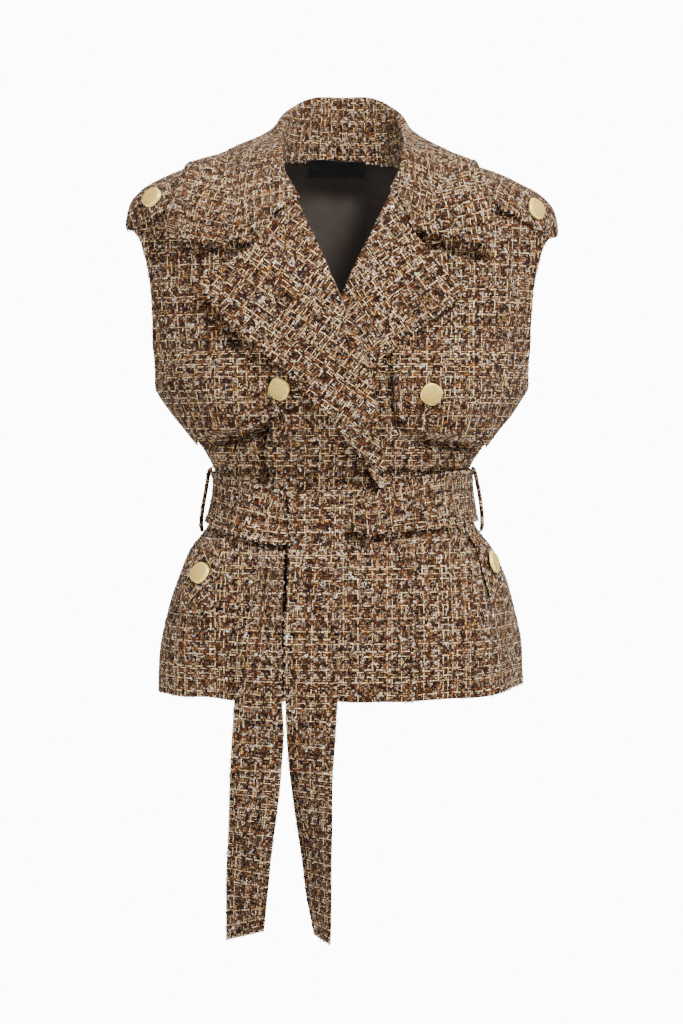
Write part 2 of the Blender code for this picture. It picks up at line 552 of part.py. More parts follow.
def flap_place(cut, hand, share, up):
    """Distance across and height on a flap: up is 0 on the free lower edge and 1 at the shoulder."""
    bottom = smooth(share, cut["share"], cut["bottom"])
    level = bottom + (FLAP_TOP - bottom) * up
    inner = share_at(smooth(level, cut["inner_level"], cut["inner_x"]), level)
    under_arm = float(arm_share(UNDERARM + 1e-6, -FLAP_INSET))
    side = under_arm + (FLAP_SIDE - under_arm) * ramp(UNDERARM - level, 0, 0.04)
    outer = hand * np.where(level < UNDERARM, side, arm_share(level, -FLAP_INSET))
    x = place_x(inner + (outer - inner) * share, level)
    return x, height_at(x, level, -1)


def flap_lift(share, up):
    """A seam's height at the shoulder and armhole, more where the cloth hangs free."""
    held = (FLAP_LIFT - CLOTH - SEAM_GAP * 3) * ramp(up, 0.95, 1.0)
    free = FLAP_FREE * (1 - ramp(up, 0.0, 0.35)) * ramp(share, 0.4, 1.0)
    return FLAP_LIFT - held + free


def flap(name, cut, hand, ride):
    def shape(up, share):
        x, z = flap_place(cut, hand, share, up)
        return surface(x, z, -1, ride(x, z) + flap_lift(share, up))
    rows = np.concatenate([np.linspace(0, 0.8, 10), [0.86, 0.91, 0.95, 0.98, 1.0]])
    return wall(name, shape, rows, np.linspace(0, 1, 12), FINISH["tweed"])


flap("storm_flap_right", FLAP_RIGHT, -1, ride_top)
flap("storm_flap_left", FLAP_LEFT, 1, ride_under)


# ---- shoulder straps -----------------------------------------------------------------------------
STRAP_TOP = (0.0012, 0.0035)      # drop of the strap's upper edge, at the collar and at its tip
STRAP_BOTTOM = (0.0400, 0.0400)
STRAP_INNER = {-1: 0.143, 1: 0.122}
STRAP_TIP = 0.2165
STRAP_CORNER = 0.008      # the tip's corners are cut back this far


def strap_place(hand, along, across):
    """Distance across and girth on a strap: along runs from under the collar to the tip."""
    corner = STRAP_CORNER * np.clip((abs(across) - 0.5) / 0.5, 0, 1) ** 2
    x = STRAP_INNER[hand] + (STRAP_TIP - corner - STRAP_INNER[hand]) * along
    top = STRAP_TOP[0] + (STRAP_TOP[1] - STRAP_TOP[0]) * along
    bottom = STRAP_BOTTOM[0] + (STRAP_BOTTOM[1] - STRAP_BOTTOM[0]) * along
    first, last = girth_of(x, -top), girth_of(x, -bottom)
    return hand * x, first + (last - first) * (across + 1) / 2


def strap_lift(along):
    return STRAP_LIFT - (STRAP_LIFT - FLAP_LIFT - CLOTH - SEAM_GAP * 2) * ramp(along, 0.9, 1.0)


def strap(name, hand):
    def shape(along, across):
        x, girth = strap_place(hand, along, across)
        return over_shoulder(x, girth, strap_lift(along))
    return wall(name, shape, np.linspace(0, 1, 9), np.array([-1, -0.82, -0.6, -0.2, 0.2, 0.6, 0.82, 1]),
                FINISH["tweed"])


strap("shoulder_strap_right", -1)
strap("shoulder_strap_left", 1)


# ---- belt ----------------------------------------------------------------------------------------
# The band, from the knot round the wearer's right, the back and the left to the knot again.  The
# turn is the angle round the body; the band is gathered where it goes into the knot.
BAND = table("turn middle width lift",
             (-366, -0.3615, 0.032, 0.0092), (-357, -0.3620, 0.034, 0.0078), (-349, -0.3630, 0.040, 0.0060),
             (-337, -0.3575, 0.045, 0.0052), (-315, -0.3500, 0.054, 0.0050), (-283, -0.3468, 0.053, 0.0052),
             (-180, -0.3440, 0.052, 0.0050), (-85, -0.3480, 0.050, 0.0050), (-48, -0.3577, 0.053, 0.0052),
             (-33, -0.3647, 0.053, 0.0056), (-23, -0.3685, 0.048, 0.0072), (-11, -0.3690, 0.040, 0.0092))
KNOT_X = (-0.0495, 0.0015)
KNOT_TOP = -0.3415
KNOT_BOTTOM = -0.3980
KNOT_BEHIND, KNOT_BEFORE = 0.0042, 0.0136      # lift of the strip behind the band and in front of it
KNOT_HIDDEN = 0.026       # how far the end reaches down behind the band


def around(turn, z, lift):
    """Point of the form at an angle round the body, below the underarm."""
    turn = (turn + 180) % 360 - 180
    side = np.where(abs(turn) > 90, 1.0, -1.0)
    quarter = np.where(side > 0, np.sign(turn) * (180 - abs(turn)), turn) / 90
    return surface(place_x(quarter, z), z, side, lift)


def band(turn, across):
    z = smooth(turn, BAND["turn"], BAND["middle"]) + across * smooth(turn, BAND["turn"], BAND["width"])
    return around(turn, z, smooth(turn, BAND["turn"], BAND["lift"]))


BAND_ROWS = np.concatenate([np.linspace(-366, -300, 10), np.linspace(-290, -70, 23),
                            np.linspace(-62, -11, 9)])
wall("belt_band", band, BAND_ROWS, np.linspace(-0.5, 0.5, 4), FINISH["tweed"], BELT_WALL)


def knot(along, across):
    """The end of the belt taken round the band: up behind it, over its top edge and down in front."""
    x = KNOT_X[0] + (KNOT_X[1] - KNOT_X[0]) * across
    turn = (np.clip(along, 1, 2) - 1) * math.pi
    middle = (KNOT_BEHIND + KNOT_BEFORE) / 2
    radius = (KNOT_BEFORE - KNOT_BEHIND) / 2
    over = KNOT_TOP - radius
    front_lift = KNOT_BEFORE + 0.0020 * np.sin((along - 2) * math.pi) - 0.0020 * ramp(along, 2.5, 3.0)
    lift = np.where(along < 2, middle - radius * np.cos(turn), front_lift)
    z = over + radius * np.sin(turn) - KNOT_HIDDEN * np.clip(1 - along, 0, 1) + (
        KNOT_BOTTOM - over) * np.clip(along - 2, 0, 1)
    return surface(x, z, -1, lift)


KNOT_ROWS = np.concatenate([np.linspace(0, 1, 4), np.linspace(1.17, 2, 6), np.linspace(2.2, 3, 6)])
wall("belt_knot", knot, KNOT_ROWS, np.linspace(0, 1, 5), FINISH["tweed"], BELT_WALL)

# The two free ends of the belt hang in front of the skirt, and straight down below the hem.
TAIL_RIGHT = table("height across width twist", (-0.7840, -0.0963, 0.0520, 40),
                   (-0.7430, -0.0943, 0.0520, 36), (-0.6900, -0.0908, 0.0520, 28),
                   (-0.6180, -0.0852, 0.0520, 8), (-0.5829, -0.0832, 0.0525, 4),
                   (-0.5467, -0.0830, 0.0480, 0), (-0.4986, -0.0800, 0.0410, 0),
                   (-0.4485, -0.0745, 0.0320, 0), (-0.4015, -0.0695, 0.0235, 0))
TAIL_LEFT = table("height across width twist", (-0.7844, -0.0193, 0.0520, 73),
                  (-0.7493, -0.0225, 0.0520, 63), (-0.7080, -0.0250, 0.0520, 56),
                  (-0.6720, -0.0273, 0.0520, 47), (-0.6180, -0.0305, 0.0520, 34),
                  (-0.5800, -0.0305, 0.0520, 20), (-0.5457, -0.0300, 0.0520, 8),
                  (-0.4485, -0.0280, 0.0530, 0), (-0.3990, -0.0240, 0.0510, 0))
TAIL_LIFT = 0.0062


def tail(name, cut, slant, top_lift):
    def shape(height, across):
        z = height + slant * across * (1 - ramp(height, cut["height"][0], cut["height"][0] + 0.06))
        twist = np.radians(smooth(height, cut["height"], cut["twist"]))
        width = smooth(height, cut["height"], cut["width"])
        x = smooth(height, cut["height"], cut["across"]) + across * width * np.cos(twist)
        lift = TAIL_LIFT + (top_lift - TAIL_LIFT) * ramp(height, cut["height"][-1] - 0.06, cut["height"][-1])
        hang = surface(x, np.maximum(z, HEM + 0.004), -1, lift)
        hang[..., 2] += np.minimum(z - HEM - 0.004, 0)
        hang[..., 1] -= across * width * np.sin(twist) * ramp(-z, -HEM, -HEM + 0.05)
        return hang
    heights = np.concatenate([np.linspace(cut["height"][0], HEM - 0.01, 9),
                              np.linspace(HEM + 0.008, cut["height"][-1], 9)])
    return wall(name, shape, heights, np.linspace(-0.5, 0.5, 5), FINISH["tweed"], BELT_WALL)


tail("belt_tail_right", TAIL_RIGHT, 0.0190, 0.0044)
tail("belt_tail_left", TAIL_LEFT, 0.0, 0.0116)


# ---- belt loops ----------------------------------------------------------------------------------
LOOP_TOP, LOOP_BOTTOM = -0.315, -0.386
LOOP_BOW = 0.0100
LOOP_WIDTH = 0.012


def loop(name, hand):
    def shape(along, across):
        z = LOOP_TOP + (LOOP_BOTTOM - LOOP_TOP) * along
        lift = CLOTH + SEAM_GAP * 3 + LOOP_BOW * np.sin(along * math.pi) ** 0.4
        point = surface(place_x(hand * 1.0, z), z, -1, lift)
        return point + np.stack([0 * z, across * LOOP_WIDTH, 0 * z], -1)
    rows = (1 - np.cos(np.linspace(0, math.pi, 13))) / 2
    return wall(name, shape, rows, np.array([-0.5, 0.5]), FINISH["tweed"])


loop("belt_loop_right", -1)
loop("belt_loop_left", 1)


# ---- pocket welts --------------------------------------------------------------------------------
WELT_RIGHT = {"top": (-0.66, -0.390), "bottom": (-0.60, -0.462)}      # share of the quarter turn, height
WELT_LEFT = {"top": (0.77, -0.384), "bottom": (0.71, -0.452)}
WELT_SHARE = 0.16         # width of the welt as a share of the quarter turn
WELT_LIFT = 0.0040


def welt_place(cut, along, across):
    (top_share, top_z), (low_share, low_z) = cut["top"], cut["bottom"]
    return top_share + (low_share - top_share) * along + across * WELT_SHARE, top_z + (low_z - top_z) * along


def welt(name, cut, ride):
    def shape(along, across):
        share, z = welt_place(cut, along, across)
        x = place_x(share, z)
        return surface(x, z, -1, ride(x, z) + WELT_LIFT)
    return wall(name, shape, np.linspace(0, 1, 6), np.linspace(-0.5, 0.5, 4), FINISH["tweed"])


welt("pocket_welt_right", WELT_RIGHT, ride_top)
welt("pocket_welt_left", WELT_LEFT, ride_under)


# ---- label ---------------------------------------------------------------------------------------
def label(up, across):
    x = -0.0070 + across * LABEL_SIZE[0]
    top = -BACK_NECK_DROP * (1 - (x / NECK) ** 2) - 0.0035
    z = shoulder_height(x, 1) + top + (up - 1) * LABEL_SIZE[1]
    return surface(x, z, 1, -LINING_SLACK - SATIN / 2 - 0.0022)


wall("label", label, np.linspace(0, 1, 4), np.linspace(-0.5, 0.5, 7), FINISH["label"], 0.0006)


# ---- buttons -------------------------------------------------------------------------------------
BUTTON_SIDES = 16
BUTTON_SQUARE = 2.7       # exponent of the rim's outline: 2 is a circle, more is a rounded square
BUTTON_PROFILE = ((1.00, 0.0), (1.00, 0.34), (0.93, 0.58), (0.72, 0.82), (0.40, 0.95))


def button(name, at, beside, below):
    """Domed metal button: rings of a rounded square, stacked along the cloth's normal at its place."""
    right = unit(beside - at)
    face = unit(np.cross(right, unit(at - below)))
    face = face if face[1] < 0 else -face
    up = np.cross(face, right)
    foot = at + face * SEAM_GAP
    points, faces = [foot], []
    angles = np.arange(BUTTON_SIDES) * 2 * math.pi / BUTTON_SIDES
    for radius, height in BUTTON_PROFILE:
        reach = BUTTON_WIDTH / 2 * radius / (abs(np.cos(angles)) ** BUTTON_SQUARE
                                             + abs(np.sin(angles)) ** BUTTON_SQUARE) ** (1 / BUTTON_SQUARE)
        for angle, r in zip(angles, reach):
            points.append(foot + right * r * math.cos(angle) + up * r * math.sin(angle)
                          + face * height * BUTTON_HEIGHT)
    points.append(foot + face * BUTTON_HEIGHT)
    last = len(points) - 1
    for k in range(BUTTON_SIDES):
        n = (k + 1) % BUTTON_SIDES
        faces.append((0, 1 + n, 1 + k))
        for ring in range(len(BUTTON_PROFILE) - 1):
            a, b = 1 + ring * BUTTON_SIDES, 1 + (ring + 1) * BUTTON_SIDES
            faces.append((a + k, a + n, b + n, b + k))
        top = 1 + (len(BUTTON_PROFILE) - 1) * BUTTON_SIDES
        faces.append((top + k, top + n, last))
    return solid(name, points, faces, FINISH["button"])


def button_on(name, x, z, lift):
    """Set a button on the cloth at a place, high enough to clear it all round its rim."""
    step = BUTTON_WIDTH / 2

    def seat(x, z):
        return surface(x, z, -1, lift(x, z) + CLOTH / 2 + SEAM_GAP)
    centre, beside, below = seat(x, z), seat(x + step, z), seat(x, z - step)
    face = unit(np.cross(unit(beside - centre), unit(centre - below)))
    angles = np.linspace(0, 2 * math.pi, 13)
    rim = seat(x + step * np.cos(angles), z + step * np.sin(angles))
    proud = max(0.0, float(np.max((rim - centre) @ face)))
    button(name, *(place + face * proud for place in (centre, beside, below)))


button_on("button_flap_right", -0.0610, -0.2370, lambda x, z: ride_top(x, z) + FLAP_LIFT)
button_on("button_flap_left", 0.0880, -0.2420, lambda x, z: ride_under(x, z) + FLAP_LIFT)
button_on("button_strap_right", -0.1900, -0.0470, lambda x, z: STRAP_LIFT)
button_on("button_strap_left", 0.1920, -0.0580, lambda x, z: STRAP_LIFT - 0.0003)
button_on("button_pocket_right", -0.1390, -0.4240, lambda x, z: ride_top(x, z) + WELT_LIFT)
button_on("button_pocket_left", 0.1500, -0.4140, lambda x, z: ride_under(x, z) + WELT_LIFT)
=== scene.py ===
"""Sleeveless, belted, double breasted trench vest in chunky tweed, filled out as if worn.

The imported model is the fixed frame.  Each section below makes one piece, or a group of like pieces,
in the order in which the garment is put together.  Metres, +Z up, the front faces -Y and the
wearer's right side is -X.
"""
import math

import bpy
import numpy as np
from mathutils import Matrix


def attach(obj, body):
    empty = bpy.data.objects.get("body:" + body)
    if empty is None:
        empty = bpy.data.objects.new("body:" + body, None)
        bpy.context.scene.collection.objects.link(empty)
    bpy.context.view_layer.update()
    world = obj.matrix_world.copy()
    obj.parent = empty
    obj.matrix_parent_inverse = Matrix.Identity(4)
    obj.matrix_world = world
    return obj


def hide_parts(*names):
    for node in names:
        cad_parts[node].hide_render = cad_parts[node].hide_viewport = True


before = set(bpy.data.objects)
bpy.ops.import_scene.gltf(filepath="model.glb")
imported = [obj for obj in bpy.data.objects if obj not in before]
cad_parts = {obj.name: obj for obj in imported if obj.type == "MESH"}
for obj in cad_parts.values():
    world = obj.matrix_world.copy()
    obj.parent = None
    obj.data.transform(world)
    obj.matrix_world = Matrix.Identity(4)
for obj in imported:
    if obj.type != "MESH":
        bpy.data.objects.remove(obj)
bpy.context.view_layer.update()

# ---- Camera, floor and light ---------------------------------------------------------------------
# The view is level, 2.6 m in front of the garment, and framed as the photograph is: its scale at the
# garment's middle and the picture's row and column through which the lens looks are measured on it.
# The garment hangs over a pale floor that runs up into a pale wall.
VIEW_DISTANCE = 2.6
EYE_HEIGHT = -0.278
PICTURE = (683, 1024)
PIXEL = 0.00105           # size of one pixel at the garment's middle depth
EYE_COLUMN, EYE_ROW = 342, 430
FLOOR = -0.98

lens = bpy.data.cameras.new("photo_view")
lens.sensor_fit = "VERTICAL"
lens.sensor_height = 24
lens.lens = lens.sensor_height * VIEW_DISTANCE / (PICTURE[1] * PIXEL)
lens.shift_x = (PICTURE[0] / 2 - EYE_COLUMN) / PICTURE[1]
lens.shift_y = (EYE_ROW - PICTURE[1] / 2) / PICTURE[1]
camera = bpy.data.objects.new("photo_view", lens)
camera.location = (0, -VIEW_DISTANCE, EYE_HEIGHT)
camera.rotation_euler = (math.pi / 2, 0, 0)
bpy.context.scene.collection.objects.link(camera)
bpy.context.scene.camera = camera


def mesh_object(name, points, faces, material, smooth=True):
    """Mesh object from an array of points and an array of faces that all have as many corners."""
    mesh = bpy.data.meshes.new(name)
    mesh.from_pydata(points.tolist(), [], faces.tolist())
    mesh.materials.append(material)
    mesh.polygons.foreach_set("use_smooth", np.full(len(faces), smooth))
    made = bpy.data.objects.new(name, mesh)
    bpy.context.scene.collection.objects.link(made)
    return made


def sweep_faces(rows, columns):
    """Squares of a grid of points numbered row by row."""
    number = np.arange(rows * columns).reshape(rows, columns)
    return np.stack([number[:-1, :-1], number[:-1, 1:], number[1:, 1:], number[1:, :-1]], -1).reshape(-1, 4)


def feed(tree, socket, value):
    """Give a socket a number, a colour or the output of another node."""
    if isinstance(value, (int, float)):
        socket.default_value = value
    elif isinstance(value, tuple):
        socket.default_value = (*value, 1)
    else:
        tree.links.new(value, socket)


def node(tree, kind, sockets, **settings):
    """Shader node with its settings, and with its sockets fed by number or by name."""
    made = tree.nodes.new(kind)
    for setting, value in settings.items():
        setattr(made, setting, value)
    for socket, value in sockets.items():
        feed(tree, made.inputs[socket], value)
    return made


def material(name, sockets):
    """Material with values on its shader's own sockets, returned with its node tree and that shader."""
    made = bpy.data.materials.new(name)
    made.use_nodes = True
    shader = made.node_tree.nodes["Principled BSDF"]
    for socket, value in sockets.items():
        feed(made.node_tree, shader.inputs[socket], value)
    return made, made.node_tree, shader


# The paper shows white to the lens alone; it throws no light of its own on the garment.
paper, tree, shader = material("backdrop_paper", {"Base Color": (0.86, 0.86, 0.86), "Roughness": 0.9})
seen = node(tree, "ShaderNodeLightPath", {})
lit_paper = node(tree, "ShaderNodeEmission", {"Strength": 12.0})
choose = node(tree, "ShaderNodeMixShader",
              {0: seen.outputs["Is Camera Ray"], 1: shader.outputs[0], 2: lit_paper.outputs[0]})
tree.links.new(choose.outputs[0], tree.nodes["Material Output"].inputs["Surface"])

# The floor is a round disc whose rim turns up into a wall: radius and height follow a quarter circle.
FLOOR_REACH, FLOOR_BEND, WALL_TOP = 3.4, 1.2, 6.0
bend = np.linspace(0, math.pi / 2, 12)
radius = np.concatenate([[0.0001], FLOOR_REACH + FLOOR_BEND * np.sin(bend), [FLOOR_REACH + FLOOR_BEND]])
height = np.concatenate([[0.0], FLOOR_BEND * (1 - np.cos(bend)), [WALL_TOP]])
turn = np.linspace(0, 2 * math.pi, 73)
floor_points = np.stack([radius[:, None] * np.cos(turn), radius[:, None] * np.sin(turn),
                         FLOOR + height[:, None] + 0 * turn], -1).reshape(-1, 3)
floor = mesh_object("floor", floor_points, sweep_faces(len(radius), len(turn)), paper)

# A soft light high on the right does most of the work, so that shade lies to the lower left of every
# edge; weaker ones open the shade from both sides, from above, from below and from behind.
LAMPS = (("key", (1.20, -1.9, 1.9), 0.6, 186), ("left", (-1.9, -1.7, 1.5), 1.2, 40),
         ("right", (2.0, -1.8, 0.9), 1.4, 4), ("top", (0.0, -0.4, 2.4), 1.0, 6),
         ("back", (0.3, 2.6, 1.2), 1.8, 50), ("low", (0.1, -2.5, -0.9), 1.6, 3))
LAMPS_AIM = (0, 0, -0.3)
for name, place, width, power in LAMPS:
    lamp = bpy.data.lights.new(name, "AREA")
    lamp.size = width
    lamp.energy = power
    lit = bpy.data.objects.new(name, lamp)
    lit.location = place
    away = np.array(place) - np.array(LAMPS_AIM)
    tilt, pan = math.atan2(math.hypot(away[0], away[1]), away[2]), math.atan2(away[0], -away[1])
    lit.rotation_euler = (tilt, 0, pan)
    bpy.context.scene.collection.objects.link(lit)
sky = bpy.data.worlds.new("studio")
sky.use_nodes = True
sky.node_tree.nodes["Background"].inputs["Color"].default_value = (1, 1, 1, 1)
sky.node_tree.nodes["Background"].inputs["Strength"].default_value = 0.09
bpy.context.scene.world = sky

# ---- Back ----------------------------------------------------------------------------------------
# One panel of wool tweed from the shoulder seams to the hem, sewn to the fronts at the sides.  The
# whole garment lies on the form worked out here: oval sections, a turn over the shoulders and folds.
CLOTH = 0.0018            # thickness of the tweed
HEM = -0.549
UNDERARM = -0.235
NECK = 0.067              # half width of the neck at the shoulder seam
ROUNDNESS = 2.3           # exponent of the oval sections: 2 is an ellipse


def table(names, *rows):
    """Named columns of a table whose rows run from its first place to its last."""
    return dict(zip(names.split(), np.array(rows, float).T))


def smooth(at, places, values):
    """Cubic curve through the values, with centred slopes, held level past both ends."""
    slopes = np.gradient(values, places)
    at = np.clip(at, places[0], places[-1])
    i = np.clip(np.searchsorted(places, at, side="right") - 1, 0, len(places) - 2)
    span = places[i + 1] - places[i]
    t = (at - places[i]) / span
    return ((2 * t**3 - 3 * t**2 + 1) * values[i] + (t**3 - 2 * t**2 + t) * span * slopes[i]
            + (3 * t**2 - 2 * t**3) * values[i + 1] + (t**3 - t**2) * span * slopes[i + 1])


def ramp(at, low, high):
    """0 below low, 1 above high, an S curve between."""
    t = np.clip((at - low) / (high - low), 0, 1)
    return t * t * (3 - 2 * t)


def unit(vectors):
    """Vectors of the same directions and of length 1."""
    return vectors / np.maximum(np.linalg.norm(vectors, axis=-1, keepdims=True), 1e-12)


BODY = table("level half_width front back",
    (-0.552, 0.1905, 0.1330, 0.1300), (-0.520, 0.1890, 0.1320, 0.1280), (-0.480, 0.1840, 0.1290, 0.1240),
    (-0.450, 0.1765, 0.1250, 0.1180), (-0.420, 0.1655, 0.1180, 0.1080), (-0.400, 0.1555, 0.1115, 0.1000),
    (-0.380, 0.1400, 0.1030, 0.0905), (-0.350, 0.1300, 0.0960, 0.0830), (-0.325, 0.1305, 0.0985, 0.0840),
    (-0.300, 0.1430, 0.1100, 0.0930), (-0.280, 0.1575, 0.1185, 0.1000), (-0.260, 0.1740, 0.1235, 0.1045),
    (-0.235, 0.1920, 0.1260, 0.1070), (-0.200, 0.2010, 0.1265, 0.1090), (-0.150, 0.2100, 0.1240, 0.1100),
    (-0.100, 0.2200, 0.1180, 0.1080), (-0.050, 0.2280, 0.1110, 0.1030), (0.000, 0.2340, 0.1040, 0.1000))
SHOULDER = table("across height turn_front turn_back",
    (0.000, 0.0080, 0.150, 0.060), (0.067, 0.0080, 0.135, 0.060), (0.100, 0.0020, 0.098, 0.058),
    (0.130, -0.0060, 0.068, 0.055), (0.160, -0.0150, 0.050, 0.052), (0.180, -0.0225, 0.041, 0.048),
    (0.200, -0.0320, 0.035, 0.044), (0.215, -0.0420, 0.031, 0.040), (0.228, -0.0560, 0.028, 0.036))
SHOULDER_TILT = -0.018
BACK_NECK_RISE = 0.0265
BACK_NECK_DROP = 0.0170
CURL_FRONT, CURL_BACK = 1.8, 2.0

# Folds round the body: the turn is the angle from the centre front (0) past the wearer's left side (90).
FOLDS = table("turn lean top bottom width depth",
              (-47, 2, -0.262, -0.316, 7, -0.0040), (-62, -3, -0.262, -0.316, 9, 0.0035),
              (52, 3, -0.262, -0.316, 8, -0.0035), (66, 3, -0.262, -0.314, 9, 0.0030),
              (-58, -8, -0.385, -0.640, 16, 0.0070), (-34, -4, -0.385, -0.600, 12, -0.0050),
              (44, 5, -0.385, -0.640, 15, 0.0065), (66, 8, -0.385, -0.600, 12, -0.0050),
              (128, -3, -0.370, -0.660, 14, 0.0100), (152, -1, -0.365, -0.620, 12, -0.0065),
              (178, 2, -0.370, -0.660, 15, 0.0095), (206, 2, -0.365, -0.620, 12, -0.0065),
              (233, 3, -0.370, -0.660, 14, 0.0100), (140, 4, -0.230, -0.313, 10, -0.0040),
              (163, 2, -0.240, -0.313, 9, 0.0040), (197, -2, -0.240, -0.313, 9, 0.0040),
              (220, -4, -0.230, -0.313, 10, -0.0040))
# Small creases where the belt gathers the cloth, in the same terms.
GATHERS = table("turn lean top bottom width depth",
                (-38, 3, -0.285, -0.345, 2.6, -0.0022), (-30, 2, -0.290, -0.340, 2.2, 0.0012),
                (-70, -2, -0.275, -0.340, 3.0, -0.0020), (-20, 1, -0.375, -0.450, 2.6, -0.0016),
                (-47, -3, -0.375, -0.440, 2.8, -0.0022), (-64, -4, -0.378, -0.455, 3.0, 0.0016),
                (-78, -2, -0.372, -0.430, 3.2, -0.0020), (24, 2, -0.378, -0.445, 2.6, -0.0018),
                (35, 3, -0.380, -0.470, 3.0, 0.0014), (57, 3, -0.378, -0.450, 3.0, -0.0022),
                (76, 3, -0.372, -0.430, 3.2, -0.0020), (38, -2, -0.280, -0.338, 2.8, -0.0020),
                (60, 2, -0.275, -0.338, 3.0, 0.0014), (74, 2, -0.270, -0.335, 3.4, -0.0022),
                (104, 2, -0.270, -0.335, 3.6, -0.0024), (118, -3, -0.372, -0.450, 3.4, -0.0024),
                (133, 3, -0.265, -0.335, 3.0, 0.0018), (150, -2, -0.260, -0.336, 3.2, -0.0024),
                (141, 2, -0.372, -0.440, 3.0, 0.0016), (165, -2, -0.370, -0.460, 3.0, -0.0022),
                (178, 1, -0.262, -0.336, 3.0, -0.0022), (186, 2, -0.372, -0.450, 3.2, 0.0016),
                (197, 3, -0.370, -0.445, 3.0, -0.0024), (208, -2, -0.262, -0.335, 3.0, -0.0022),
                (222, 3, -0.372, -0.455, 3.2, -0.0020), (229, -2, -0.266, -0.335, 3.2, 0.0018),
                (246, -3, -0.370, -0.440, 3.4, -0.0022), (258, -2, -0.270, -0.335, 3.4, -0.0022))


def shoulder_height(x, side):
    """Height of the shoulder seam across the body; behind, the line rises on inside the neck."""
    inside = np.clip(1 - (x / NECK) ** 2, 0, 1)
    return (smooth(abs(x), SHOULDER["across"], SHOULDER["height"]) + SHOULDER_TILT * x
            + np.where(side > 0, BACK_NECK_RISE * inside, 0))


def height_at(x, level, side):
    """Height of a place whose level is a height below the underarm and above it a share of the way up."""
    line = shoulder_height(x, side)
    return np.where(level < UNDERARM, level, line - level * (line - UNDERARM) / UNDERARM)


def level_at(x, z, side):
    """Level of a height: height_at turned round."""
    line = shoulder_height(x, side)
    return np.where(z < UNDERARM, z, UNDERARM * (line - z) / (line - UNDERARM))


def relief(folds, turn, z):
    """Sum of folds at a place: each a round ridge or trough that fades in and out at its ends."""
    total = np.zeros(np.broadcast(turn, z).shape)
    for i in range(len(folds["turn"])):
        top, bottom = folds["top"][i], folds["bottom"][i]
        length = top - bottom
        middle = folds["turn"][i] + folds["lean"][i] * (top - z) / length
        apart = (turn - middle + 180) % 360 - 180
        across = np.exp(-(apart / folds["width"][i]) ** 2)
        fade_in = ramp(z, bottom - 0.15 * length, bottom + 0.35 * length)
        fade_out = 1 - ramp(z, top - 0.45 * length, top)
        total = total + folds["depth"][i] * across * (fade_in * fade_out)
    return total


WAVES = ((0.00044, 61, 37, 23, 0), (0.00040, -34, -29, 71, 0), (0.00026, 118, 61, -47, 1.3),
         (0.00024, 52, -83, 131, 0))        # height, then turns along x, y and z, and start


def drape(x, y, z):
    """Slow unevenness of worn cloth: crossed waves in space, each a height times the sine of its phase."""
    return sum(height * np.sin(a * x + b * y + c * z + start) for height, a, b, c, start in WAVES)


def half_width(level):
    """Half the width of the oval section at a level."""
    return smooth(level, BODY["level"], BODY["half_width"])


def shoulder_turn(x, behind):
    """How far down the turn over the shoulder reaches at a place, and the power of its curve."""
    front, back = (smooth(abs(x), SHOULDER["across"], SHOULDER[key]) for key in ("turn_front", "turn_back"))
    return np.where(behind, back, front), np.where(behind, CURL_BACK, CURL_FRONT)


def turn_of(x, level, side):
    """Angle round the body of a place across it, in degrees from the centre front."""
    quarter = np.degrees(np.arcsin(np.clip(x / half_width(level), -1, 1)))
    return np.where(side < 0, quarter, 180 - quarter)


def surface(x, z, side, lift=0.0):
    """Point of the form at a place seen from the front (side -1) or from behind (side 1).

    y is the depth of the oval there times how far the cloth has turned over the shoulder.  Folds,
    unevenness and lift then move the point along the gradient of that same equation, its normal.
    """
    x, z, side = np.broadcast_arrays(np.asarray(x, float), np.asarray(z, float), np.asarray(side, float))
    level = level_at(x, z, side)
    half = half_width(level)
    depth = np.where(side < 0, smooth(level, BODY["level"], BODY["front"]),
                     smooth(level, BODY["level"], BODY["back"]))
    reach, curl = shoulder_turn(x, side > 0)
    share = np.clip(abs(x) / half, 0, 1)
    ring = (1 - share**ROUNDNESS) ** (1 / ROUNDNESS)
    left = 1 - np.clip((shoulder_height(x, side) - z) / reach, 0, 1)
    over = (1 - left**curl) ** (1 / curl)
    turn = turn_of(x, level, side)
    y = side * depth * ring * over
    out = relief(FOLDS, turn, z) + relief(GATHERS, turn, z) + drape(x, y, z) + lift
    normal = np.stack([np.sign(x) * over**curl * share ** (ROUNDNESS - 1) / half,
                       side * ring ** (ROUNDNESS - 1) * over ** (curl - 1) / depth,
                       ring**ROUNDNESS * left ** (curl - 1) / reach], -1)
    return np.stack([x, y, z], -1) + unit(normal) * out[..., None]


def girth_of(x, drop):
    """The girth of a place a drop below the shoulder seam, negative drops down the front."""
    reach, curl = shoulder_turn(x, drop >= 0)
    bend = np.arccos(np.clip(1 - abs(drop) / reach, 0, 1) ** (curl / 2))
    return np.sign(drop) * (reach * bend + np.maximum(abs(drop) - reach, 0))


def place_x(turn_share, level):
    """Distance from the centre at a share of the quarter turn from centre to side seam."""
    return half_width(level) * np.sin(np.clip(turn_share, -1, 1) * math.pi / 2)


def share_at(x, level):
    """Share of the quarter turn at a distance from the centre: place_x turned round."""
    return np.arcsin(np.clip(x / half_width(level), -1, 1)) * 2 / math.pi


EDGE_STEPS = (0.0005, 0.0011, 0.0020, 0.0035, 0.0054, 0.0063, 0.0072)     # metres in from an edge


def edged(first, last, size, step=0.0035):
    """Grid lines from first to last over a length in metres, closer together along both edges."""
    inner = EDGE_STEPS[-1] + step
    places = np.concatenate([[0.0], EDGE_STEPS, np.linspace(inner, size - inner, max(3, round(size / step))),
                             size - np.array(EDGE_STEPS[::-1]), [size]])
    return first + (last - first) * places / size


